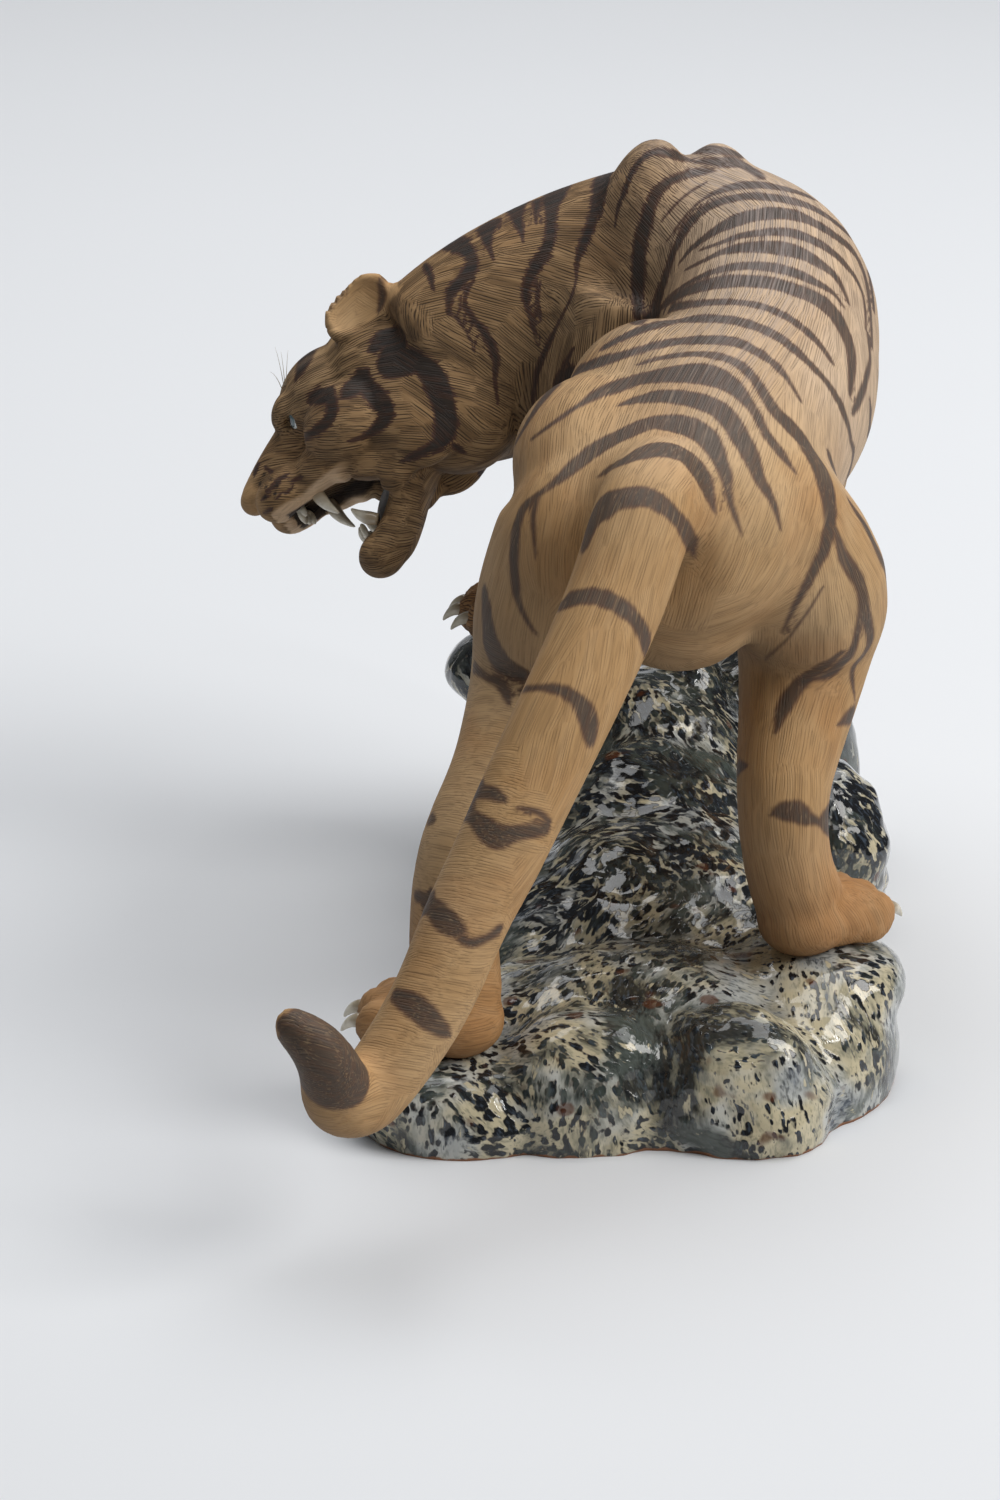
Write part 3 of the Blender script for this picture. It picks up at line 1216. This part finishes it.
def add_rock_lumps(bm):
    wide, long = ROCK_HALF_WIDTH, ROCK_HALF_LENGTH
    ledge, step, summit = LEDGE_HEIGHT, STEP_HEIGHT, SUMMIT_HEIGHT
    for x, y, z, rx, ry, top in (
        (0.05, -0.58, 0.0, 0.90, 0.36, ledge * 0.93),
        (0.62, -0.52, 0.2, 0.36, 0.30, ledge),
        (-0.62, -0.78, 0.1, 0.38, 0.22, step),
        (-0.20, -0.82, 0.1, 0.36, 0.17, ledge * 0.86),
        (0.36, -0.84, 0.1, 0.34, 0.15, ledge * 0.95),
        (0.12, 0.0, 0.0, 0.80, 0.62, ledge * 1.2),
        (0.12, 0.30, 0.1, 0.55, 0.34, summit * 0.80),
        (0.16, 0.62, 0.2, 0.48, 0.36, summit * 0.94),
        (0.28, 0.68, 0.3, 0.22, 0.20, summit * 1.06),
        (-0.18, 0.76, 0.3, 0.32, 0.24, summit * 1.02),
        (0.66, 0.86, 0.3, 0.36, 0.20, summit * 0.92),
        (0.78, 0.42, 0.3, 0.30, 0.24, ledge * 1.26),
        (0.10, 0.60, 0.0, 0.80, 0.38, ledge),
    ):
        base = top * z
        lump(bm, (wide * x, long * y, base), (wide * rx, long * ry, top - base))
    for (x, y), height, _ in PAWS.values():
        lump(bm, (x, y, height - 14.0), (PAW_LENGTH * 0.62, PAW_LENGTH * 0.62, 14.0))
    underside = Matrix.Translation((0, 0, -6)) @ Matrix.Diagonal((wide, long * 1.4, 12, 1))
    bmesh.ops.create_cube(bm, size=1.0, matrix=underside)


def away_from_paws(x, y):
    """How far a place is from the nearest paw, from 0 at the paw to 1 well away from it."""
    nearest = min((Vector((x, y)) - Vector(place)).length for place, _, _ in PAWS.values())
    return min(1.0, max(0.0, (nearest - PAW_LENGTH * 0.5) / PAW_LENGTH))


def make_rock(settings):
    bm = bmesh.new()
    add_rock_lumps(bm)
    rock = remesh(new_object("glazed_rock", bm), ROCK_VOXEL, 18)

    def crag(point):
        place = point / CRAG_SPACING
        swell = noise.noise(place) + 0.45 * noise.noise(place * 2.3 + Vector((7.0, 3.0, 1.0)))
        return swell * CRAG_DEPTH * away_from_paws(point.x, point.y)

    def pit(point):
        place = point / 9.0 + Vector((3.0, 5.0, 2.0))
        depth = noise.noise(place) + 0.6 * noise.noise(place * 2.1)
        return depth * 0.9 * (0.35 + 0.65 * away_from_paws(point.x, point.y))

    swell(rock, crag)
    remesh(rock, settings.rock_voxel / MM, 3)
    swell(rock, pit)
    bm = bmesh.new()
    bm.from_mesh(rock.data)
    everything = bm.verts[:] + bm.edges[:] + bm.faces[:]
    bmesh.ops.bisect_plane(bm, geom=everything, plane_co=(0, 0, 0), plane_no=(0, 0, 1), clear_inner=True)
    rim = [edge for edge in bm.edges if edge.is_boundary]
    bmesh.ops.holes_fill(bm, edges=rim, sides=0)
    bmesh.ops.recalc_face_normals(bm, faces=bm.faces)
    bm.to_mesh(rock.data)
    bm.free()
    rock.data.shade_smooth()
    return rock


def run_of_glaze(point, normal):
    """Glaze runs downhill, and is dragged round by the brush where the rock is level."""
    swirl = noise.noise(point / 55.0) * 4.0
    level = Vector((math.cos(swirl), math.sin(swirl) * 0.45, 0.0))
    steep = 1.0 - abs(normal.z)
    return (Vector((0, 0, -1)) * steep * 1.6 + level * (1.0 - steep)).normalized()


def glaze_finish(settings):
    """Black islands in a cream net, drawn out along the glaze's run, with milky blue and grey pools."""
    finish = Finish("mottled_glaze", settings)
    step = finish.step
    place = finish.object_place()

    def islands(tuft):
        bend = finish.noise(tuft, 0.9, output=1)
        bent = finish.node("ShaderNodeVectorMath", {"operation": "MULTIPLY_ADD"}, {
            0: bend, 1: (1.4, 1.4, 1.4), 2: tuft})
        return 0.56 - finish.node("ShaderNodeTexVoronoi", {"feature": "SMOOTH_F1"}, {
            "Vector": bent, "Scale": 1.15, "Smoothness": 0.45, "Randomness": 1.0})

    net = crossing(finish, islands)
    runs = tufted(finish, (0.7, 0.7, 0.45), 3.0)
    fine = tufted(finish, (2.4, 2.4, 1.6), 2.0)
    region = finish.noise(place, 21.0, 2.0)
    pools = finish.noise(place, 30.0, 3.0, 0.55, 0.8)
    haze = finish.noise(place, 55.0, 2.0)
    back_way = finish.node("ShaderNodeSeparateXYZ", sockets={0: place}, output=1)
    slope = step(back_way, -0.075, -0.030)
    width = step(region, 0.38, 0.70) * 0.19 + (runs - 0.5) * 0.60 + 0.02 - 0.17 * slope
    depth = net - width + (fine - 0.5) * 0.22
    island = step(depth, -0.03, 0.11)
    rim = step(abs(depth - 0.03), 0.06, 0.0)
    streak = step(runs + (fine - 0.5) * 0.5, 0.40, 0.60)

    black = finish.mix(step(fine, 0.50, 0.75) * 0.6, "black_glaze", "blue_glaze")
    milky = finish.coats("blue_glaze", (streak * 0.75, "white_glaze"), (step(fine, 0.50, 0.36) * 0.7, black))
    halo = step(pools + (runs - 0.5) * 0.4, 0.44, 0.56)
    pool = step(pools + (runs - 0.5) * 0.5 + (fine - 0.5) * 0.2, 0.52, 0.62)
    deep = finish.mix(step(haze + (fine - 0.5) * 0.4, 0.46, 0.66) * 0.7, black, "green_glaze")
    drip = step(runs + (fine - 0.5) * 0.3, 0.64, 0.70) * (1.0 - slope * 0.6)
    bare = step(finish.attribute("foot") + (runs - 0.5) * 3.0, 0.8, 0.3)
    colour = finish.coats(
        "cream_glaze",
        (step(haze, 0.42, 0.62), "white_glaze"),
        (step(fine, 0.52, 0.30) * 0.5, "green_glaze"),
        (island, black),
        (rim * step(pools, 0.42, 0.60) * 0.6, "rust_glaze"),
        (step(fine, 0.62, 0.70) * 0.75, black),
        (step(haze + (runs - 0.5) * 0.6, 0.57, 0.72) * 0.8, milky),
        (halo * 0.5, "green_glaze"),
        (pool * 0.9, deep),
        (drip * 0.9, "cream_glaze"),
        (step(finish.noise(place, 95.0, 1.0), 0.68, 0.74) * 0.7, "rust_glaze"),
        (step(finish.attribute("crease"), 0.3, 2.4) * 0.6, black),
        (bare, "bare_clay"),
    )
    height = finish.bump(island * 0.5 + runs, 0.00020)
    finish.set(Base_Color=colour, Roughness=0.06 + 0.6 * bare, Normal=height)
    finish.set(Coat_Weight=0.35 * (1.0 - bare), Coat_Roughness=0.02, Specular_IOR_Level=0.5)
    return finish.material


def horn(name, place, root, tip, sag, radius, material):
    """A claw or a fang: a round horn from root to tip, curved by sag."""
    root, tip, sag = (place.to_3x3() @ Vector(v) for v in (root, tip, sag))
    root, tip = root + place.translation, tip + place.translation
    way = (tip - root).normalized()
    rows = []
    for share, size in ((0.0, 0.88), (0.3, 1.0), (0.6, 0.76), (0.85, 0.42), (0.96, 0.22), (1.0, 0.08)):
        point = root.lerp(tip, share) + sag * (4.0 * share * (1.0 - share))
        rows.append((*point, radius * size, radius * size))
    bm = bmesh.new()
    limb(bm, rows, facing=way.orthogonal(), sides=20, steps=4)
    piece = new_object(name, bm)
    along = (surface(piece.data)[0] - np.array(root)) @ np.array(way) / (tip - root).length
    store(piece.data, "along", along)
    return dress(piece, material)


def dress(piece, material):
    piece.data.materials.clear()
    piece.data.materials.append(material)
    piece.data.shade_smooth()
    return piece


def ivory_finish(settings):
    finish = Finish("ivory_glaze", settings)
    along = finish.attribute("along")
    cloud = finish.noise(finish.object_place(), 420.0, 3.0)
    colour = finish.mix(finish.step(cloud, 0.35, 0.7), "ivory", "ivory_shade")
    colour = finish.mix(finish.step(along, 0.62, 0.25) * 0.75, colour, "ivory_root")
    grain = finish.bump(cloud, 0.00008)
    finish.set(Base_Color=colour, Roughness=0.14 + 0.12 * cloud, Normal=grain, Coat_Weight=0.4)
    return finish.material


def claw_specs():
    """Name, frame, root, tip and sag of every claw, from the places of the toes."""
    for paw in PAWS:
        place = paw_frame(paw)
        for number, (ahead, aside) in enumerate(toe_places(), 1):
            front = ahead + PAW_LENGTH * 0.21
            root = (front - CLAW_LENGTH * 0.48, aside * 1.06, PAW_HEIGHT * 0.50)
            tip = (front + CLAW_LENGTH * 0.42, aside * 1.12, PAW_HEIGHT * 0.50 - CLAW_LENGTH * 0.42)
            yield f"{paw}_claw_{number}", place, root, tip, (CLAW_LENGTH * 0.06, 0, CLAW_LENGTH * 0.17)


def fang_specs():
    place = head_frame()
    for side, word in ((1, "left"), (-1, "right")):
        root = (31.5, side * 7.4, -2.6)
        tip = (31.5 - UPPER_FANG_LENGTH * 0.28, side * 8.2, -2.6 - UPPER_FANG_LENGTH * 0.96)
        yield f"upper_{word}_canine", place, root, tip, (UPPER_FANG_LENGTH * 0.09, 0, 0)
        root = (17.5, side * 6.8, -23.6)
        tip = (17.5 + LOWER_FANG_LENGTH * 0.62, side * 7.6, -23.6 + LOWER_FANG_LENGTH * 0.78)
        sag = (LOWER_FANG_LENGTH * 0.08, 0, -LOWER_FANG_LENGTH * 0.04)
        yield f"lower_{word}_canine", place, root, tip, sag


# Rows of small teeth: forward and up from the skull's middle, the way they lean, and half the row's width.
INCISORS = {
    "upper_incisors": (40.5, -3.4, (0.1, 0, -1.0), 4.6),
    "lower_incisors": (24.5, -25.6, (0.45, 0, 0.9), 4.2),
}


def incisor_row(name, front, up, lean, half_row, material):
    """Six short teeth on a low bar of gum."""
    place = head_frame()
    reach = Vector(lean).normalized() * INCISOR_LENGTH
    bm = bmesh.new()
    tooth = (INCISOR_RADIUS * 0.9, half_row * 0.215, INCISOR_LENGTH * 0.55)
    gum = (INCISOR_RADIUS, half_row * 0.24, INCISOR_LENGTH * 0.26)
    for count, radii, lift in ((6, tooth, 0.5), (5, gum, 0.16)):
        for k in range(count):
            share = (k - (count - 1) / 2) / 2.5
            centre = Vector((front - abs(share) ** 2 * 2.0, share * half_row, up))
            lump(bm, centre + reach * lift, radii, place, finer=3)
    row = remesh(new_object(name, bm), TOOTH_VOXEL, 2)
    store(row.data, "along", np.full(len(row.data.vertices), 0.8))
    return dress(row, material)


def make_tongue():
    """An arched tongue with a groove down its middle."""
    long = TONGUE_LENGTH
    rows = []
    sections = ((0.0, 4.6, 2.6), (0.3, 5.4, 3.0), (0.6, 5.2, 2.8), (0.85, 4.0, 2.2), (1.0, 2.0, 1.2))
    for share, wide, high in sections:
        arch = 7.0 * share * (1 - share)
        rows.append((-1.0 + long * 0.80 * share, 0, -10.0 - long * 0.50 * share + arch, wide, high))
    bm = bmesh.new()
    head_limb(bm, rows, sides=28, steps=5)
    tongue = new_object("glazed_tongue", bm)
    inverse = head_frame().inverted()
    for vert in tongue.data.vertices:
        local = inverse @ (vert.co / MM)
        groove = math.exp(-(local.y / 1.2) ** 2) * 0.7
        vert.co -= Vector(head_frame().to_3x3().col[2]) * groove * MM
    return tongue


def tongue_finish(settings):
    finish = Finish("tongue_glaze", settings)
    grain = finish.noise(finish.object_place(), 900.0, 2.0)
    colour = finish.mix(grain, "tongue", "tongue_shade")
    finish.set(Base_Color=colour, Roughness=0.22 + 0.1 * grain, Normal=finish.bump(grain, 0.00015))
    return finish.material


def eye_finish(settings):
    finish = Finish("eye_glaze", settings)
    gaze = finish.attribute("gaze")
    cloud = finish.noise(finish.object_place(), 700.0, 2.0)
    white = finish.mix(cloud, "eye_white", "eye_shade")
    colour = finish.mix(finish.step(gaze, 0.66, 0.60), white, "iris")
    colour = finish.mix(finish.step(gaze, 0.34, 0.28), colour, "pupil")
    finish.set(Base_Color=colour, Roughness=0.05 + 0.02 * cloud, Coat_Weight=0.6)
    return finish.material


def make_eye(name, centre, material):
    place = head_frame()
    bm = bmesh.new()
    bmesh.ops.create_uvsphere(bm, u_segments=40, v_segments=28, radius=EYE_RADIUS,
                              matrix=place @ Matrix.Translation(centre))
    eye = new_object(name, bm)
    side = 1 if centre[1] > 0 else -1
    ahead = (place.to_3x3() @ Vector((0.82, side * 0.52, 0.05))).normalized()
    middle = place @ Vector(centre)
    out = (surface(eye.data)[0] - np.array(middle)) / EYE_RADIUS
    angle = np.arccos(np.clip(out @ np.array(ahead), -1, 1))
    store(eye.data, "gaze", angle)
    return dress(eye, material)


def make_bristles(tree):
    """A few stiff hairs set in the brow."""
    bm = bmesh.new()
    for x, y, tip_x, tip_y in BRISTLES:
        hit = tree.ray_cast(*sight(x, y))
        if hit[0] is None:
            continue
        start, way = sight(tip_x, tip_y)
        far = start + way * (hit[0] - start).length
        root, tip = hit[0] / MM, far / MM
        rows = []
        for k in range(5):
            share = k / 4
            point = root.lerp(tip, share) + Vector((0, 0, 1.2 * share * (1 - share) * 4))
            radius = 0.13 * (1.0 - 0.8 * share)
            rows.append((*point, radius, radius))
        limb(bm, rows, facing=(0.2, 1.0, 0.3), sides=6, steps=2)
    return new_object("brow_bristles", bm)


def bristle_finish(settings):
    finish = Finish("bristle", settings)
    tint = finish.noise(finish.object_place(), 300.0, 1.0)
    finish.set(Base_Color=finish.mix(tint, "ivory_shade", "ivory_root"), Roughness=0.5)
    return finish.material


def colour(name, words, value):
    return FloatVectorProperty(name=name, description=words, default=value, subtype="COLOR", size=3,
                               min=0.0, max=1.0)


def length(name, words, value, precision=5):
    return FloatProperty(name=name, description=words, default=value, unit="LENGTH", precision=precision)


def power(name, words, value):
    return FloatProperty(name=name, description=words, default=value, unit="POWER")


class ClaySettings(bpy.types.PropertyGroup):
    skin_voxel: length("Skin", "Spacing of the tiger's skin", 0.0019)
    head_voxel: length("Head", "Spacing of the finer head", 0.0007)
    comb_spacing: length("Comb", "Spacing of the combed lines", 0.00082)
    comb_stroke: length("Stroke", "Length of a comb stroke", 0.014, precision=4)
    tufts: IntProperty(name="Tufts", description="Number of tufts of combed fur", default=900, min=10)
    raggedness: FloatProperty(name="Raggedness", default=4.6,
                              description="How far the paint runs along the hairs, in millimetres")
    clay: colour("Clay", "Fired clay", (0.50, 0.295, 0.125))
    pale_clay: colour("Pale clay", "Clay where it is paler", (0.56, 0.375, 0.200))
    warm_clay: colour("Warm clay", "Clay over the paws", (0.46, 0.215, 0.072))
    worn_clay: colour("Worn clay", "Greyer clay along the top of the back", (0.74, 0.57, 0.42))
    wash: colour("Wash", "Dark wash left in the comb lines and folds", (0.050, 0.028, 0.014))
    paint: colour("Paint", "Stripe paint on the head and neck", (0.023, 0.013, 0.011))
    thin_paint: colour("Thin paint", "Stripe paint on the body, where it is thin", (0.052, 0.036, 0.032))
    core_paint: colour("Core of the paint", "Middle of the stripes on head and neck", (0.016, 0.015, 0.016))
    thin_core: colour("Core of the thin paint", "Middle of the stripes on the body", (0.034, 0.031, 0.034))
    spine_wash: colour("Spine wash", "Greyish wash brushed along the spine", (0.32, 0.275, 0.265))
    brushed_clay: colour("Brushed clay", "Darker clay under combed fur", (0.235, 0.133, 0.057))
    rusty_paint: colour("Rusty paint", "Redder paint between the strokes of the brush", (0.100, 0.038, 0.022))
    hole: colour("Hole", "Inside of the mouth and the whisker holes", (0.016, 0.010, 0.008))


class GlazeSettings(bpy.types.PropertyGroup):
    rock_voxel: length("Rock", "Spacing of the rock's skin", 0.0013)
    blotch: length("Blotch", "Width of a blotch of glaze", 0.0026, precision=4)
    blotch_run: length("Run", "Length of a blotch along its run", 0.0050, precision=4)
    runs: IntProperty(name="Runs", description="Number of patches of running glaze", default=220, min=10)
    black_glaze: colour("Black", "Darkest glaze", (0.012, 0.013, 0.015))
    cream_glaze: colour("Cream", "Cream glaze", (0.60, 0.53, 0.36))
    white_glaze: colour("White", "Milky white glaze", (0.54, 0.55, 0.52))
    rust_glaze: colour("Rust", "Iron brown at the edges of a blotch", (0.11, 0.035, 0.014))
    blue_glaze: colour("Blue", "Blue-grey glaze", (0.09, 0.12, 0.16))
    green_glaze: colour("Green", "Grey-green pools", (0.10, 0.12, 0.10))
    bare_clay: colour("Bare clay", "Unglazed foot", (0.30, 0.13, 0.06))


class TrimSettings(bpy.types.PropertyGroup):
    ivory: colour("Ivory", "Teeth and claws", (0.68, 0.63, 0.52))
    ivory_shade: colour("Ivory shade", "Darker ivory", (0.55, 0.49, 0.37))
    ivory_root: colour("Ivory root", "Roots of teeth and claws", (0.30, 0.22, 0.13))
    tongue: colour("Tongue", "Tongue", (0.33, 0.33, 0.33))
    tongue_shade: colour("Tongue shade", "Darker tongue", (0.22, 0.21, 0.20))
    eye_white: colour("Eye white", "White of the eye", (0.78, 0.82, 0.80))
    eye_shade: colour("Eye shade", "Greyer white", (0.62, 0.68, 0.68))
    iris: colour("Iris", "Ring round the pupil", (0.10, 0.15, 0.16))
    pupil: colour("Pupil", "Pupil", (0.008, 0.008, 0.010))


class StudioSettings(bpy.types.PropertyGroup):
    paper: colour("Paper", "Paper sweep under and behind the figurine", (0.755, 0.775, 0.805))
    key_power: power("Key", "Power of the lamp on the right", 34.0)
    fill_power: power("Fill", "Power of the cool lamp on the left", 0.3)
    strip_power: power("Strip", "Power of the small lamp in front that sparkles on the glaze", 2.0)
    top_power: power("Top", "Power of the wide lamp overhead", 74.0)
    air: FloatProperty(name="Air", description="Light from all round", default=0.075, min=0.0)


class FigurineStep(bpy.types.Operator):
    bl_options = {"REGISTER", "UNDO"}


class FIGURINE_OT_tiger(FigurineStep):
    """Models the clay tiger, paints its stripes and combs its fur"""
    bl_idname = "figurine.tiger"
    bl_label = "Clay tiger"

    def execute(self, context):
        settings = context.scene.figurine_clay
        tiger = make_tiger(settings)
        tree = surface_tree(tiger)
        paint(tiger, tree)
        comb(tiger, fur_flow(), settings.tufts, settings.comb_spacing / MM, settings.comb_stroke / MM)
        cavity(tiger, 14, "fold")
        shade_tiger(tiger, tree)
        dress(tiger, clay_finish(settings))
        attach(tiger, BODY)
        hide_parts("tiger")
        bristles = dress(make_bristles(tree), bristle_finish(context.scene.figurine_trim))
        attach(bristles, BODY)
        return {"FINISHED"}


class FIGURINE_OT_rock(FigurineStep):
    """Models the rock and runs its mottled glaze"""
    bl_idname = "figurine.rock"
    bl_label = "Glazed rock"

    def execute(self, context):
        settings = context.scene.figurine_glaze
        rock = make_rock(settings)
        comb(rock, run_of_glaze, settings.runs, settings.blotch / MM, settings.blotch_run / MM)
        store(rock.data, "foot", surface(rock.data)[0][:, 2])
        cavity(rock, 60, "crease")
        dress(rock, glaze_finish(settings))
        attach(rock, BODY)
        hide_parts("rock_base")
        return {"FINISHED"}


class FIGURINE_OT_teeth(FigurineStep):
    """Sets the fangs, the small teeth and the tongue"""
    bl_idname = "figurine.teeth"
    bl_label = "Teeth and tongue"

    def execute(self, context):
        settings = context.scene.figurine_trim
        ivory = ivory_finish(settings)
        for name, place, root, tip, sag in fang_specs():
            fang = horn(name + "_glazed", place, root, tip, sag, FANG_RADIUS, ivory)
            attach(fang, BODY)
            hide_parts(name)
        for name, place in INCISORS.items():
            row = incisor_row(name + "_glazed", *place, ivory)
            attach(row, BODY)
            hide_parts(name)
        tongue = dress(make_tongue(), tongue_finish(settings))
        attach(tongue, BODY)
        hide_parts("tongue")
        return {"FINISHED"}


class FIGURINE_OT_claws(FigurineStep):
    """Sets four claws in each paw"""
    bl_idname = "figurine.claws"
    bl_label = "Claws"

    def execute(self, context):
        ivory = ivory_finish(context.scene.figurine_trim)
        for name, place, root, tip, sag in claw_specs():
            claw = horn(name + "_glazed", place, root, tip, sag, CLAW_RADIUS, ivory)
            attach(claw, BODY)
            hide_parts(name)
        return {"FINISHED"}


class FIGURINE_OT_eyes(FigurineStep):
    """Sets the two glazed eyes"""
    bl_idname = "figurine.eyes"
    bl_label = "Eyes"

    def execute(self, context):
        glaze = eye_finish(context.scene.figurine_trim)
        for name, centre in eye_centres().items():
            eye = make_eye(name + "_glazed", centre, glaze)
            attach(eye, BODY)
            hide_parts(name)
        return {"FINISHED"}


def add_lamp(name, place, size, power, target=(0.0, 0.0, 0.10), colour=(1.0, 1.0, 1.0)):
    data = bpy.data.lights.new(name, "AREA")
    data.shape = "RECTANGLE"
    data.size, data.size_y = size
    data.energy = power
    data.color = colour
    lamp = bpy.data.objects.new(name, data)
    lamp.location = place
    lamp.rotation_euler = (Vector(target) - Vector(place)).to_track_quat("-Z", "Y").to_euler()
    bpy.context.scene.collection.objects.link(lamp)


def paper_sweep(settings):
    """A paper floor that curves up into the backdrop."""
    bm = bmesh.new()
    bmesh.ops.create_grid(bm, x_segments=1, y_segments=1, size=PAPER_REACH)
    back = [edge for edge in bm.edges if all(vert.co.y > PAPER_REACH - 1.0 for vert in edge.verts)]
    ends = [vert for edge in back for vert in edge.verts]
    bmesh.ops.spin(bm, geom=back + ends, cent=(0, PAPER_REACH, PAPER_BEND), axis=(1, 0, 0),
                   angle=math.radians(88.0), steps=24)
    paper = new_object("paper_sweep", bm)
    finish = Finish("paper", settings)
    fibre = finish.noise(finish.object_place(), 3.0, 2.0)
    darker = tuple(c * 0.985 for c in settings.paper)
    finish.set(Base_Color=finish.mix(fibre, "paper", darker), Roughness=0.9)
    return dress(paper, finish.material)


class FIGURINE_OT_studio(FigurineStep):
    """Sets the camera, the paper sweep and the lamps"""
    bl_idname = "figurine.studio"
    bl_label = "Studio"

    def execute(self, context):
        settings = context.scene.figurine_studio
        data = bpy.data.cameras.new("camera")
        data.lens = LENS
        data.sensor_fit = "VERTICAL"
        data.sensor_height = SENSOR
        data.clip_end = 20.0
        camera = bpy.data.objects.new("camera", data)
        camera.location = CAMERA_PLACE
        camera.rotation_euler = (math.radians(CAMERA_TILT), 0.0, 0.0)
        context.scene.collection.objects.link(camera)
        context.scene.camera = camera
        paper_sweep(settings)
        add_lamp("key", (1.8, -0.6, 1.7), (1.3, 1.3), settings.key_power, colour=(1.0, 0.98, 0.95))
        add_lamp("fill", (-1.8, -0.3, 1.0), (0.5, 0.5), settings.fill_power, colour=(0.78, 0.88, 1.0))
        add_lamp("strip", (1.1, -1.1, 1.5), (0.07, 0.40), settings.strip_power)
        add_lamp("top", (0.2, 1.0, 2.6), (3.0, 3.0), settings.top_power, target=(0.2, 1.0, 0.0))
        world = bpy.data.worlds.new("air")
        world.use_nodes = True
        sky = world.node_tree.nodes["Background"]
        sky.inputs["Color"].default_value = (0.95, 0.97, 1.0, 1.0)
        sky.inputs["Strength"].default_value = settings.air
        context.scene.world = world
        context.scene.view_settings.view_transform = "Standard"
        return {"FINISHED"}


class FIGURINE_PT_panel(bpy.types.Panel):
    bl_idname = "FIGURINE_PT_panel"
    bl_label = "Ceramic tiger"
    bl_space_type = "VIEW_3D"
    bl_region_type = "UI"
    bl_category = "Figurine"

    def draw(self, context):
        for step in STEPS:
            self.layout.operator(step.bl_idname)
        for name in SETTINGS:
            group = getattr(context.scene, name)
            box = self.layout.box()
            for key in group.__annotations__:
                box.prop(group, key)


SETTINGS = {
    "figurine_clay": ClaySettings,
    "figurine_glaze": GlazeSettings,
    "figurine_trim": TrimSettings,
    "figurine_studio": StudioSettings,
}
STEPS = (FIGURINE_OT_studio, FIGURINE_OT_rock, FIGURINE_OT_tiger, FIGURINE_OT_teeth, FIGURINE_OT_claws,
         FIGURINE_OT_eyes)


def register():
    for name, group in SETTINGS.items():
        bpy.utils.register_class(group)
        setattr(bpy.types.Scene, name, PointerProperty(type=group))
    for step in (*STEPS, FIGURINE_PT_panel):
        bpy.utils.register_class(step)


def unregister():
    for step in reversed((*STEPS, FIGURINE_PT_panel)):
        bpy.utils.unregister_class(step)
    for name, group in reversed(SETTINGS.items()):
        delattr(bpy.types.Scene, name)
        bpy.utils.unregister_class(group)


def main():
    register()
    bpy.ops.figurine.studio()
    bpy.ops.figurine.rock()
    bpy.ops.figurine.tiger()
    bpy.ops.figurine.teeth()
    bpy.ops.figurine.claws()
    bpy.ops.figurine.eyes()


if __name__ == "__main__":
    main()
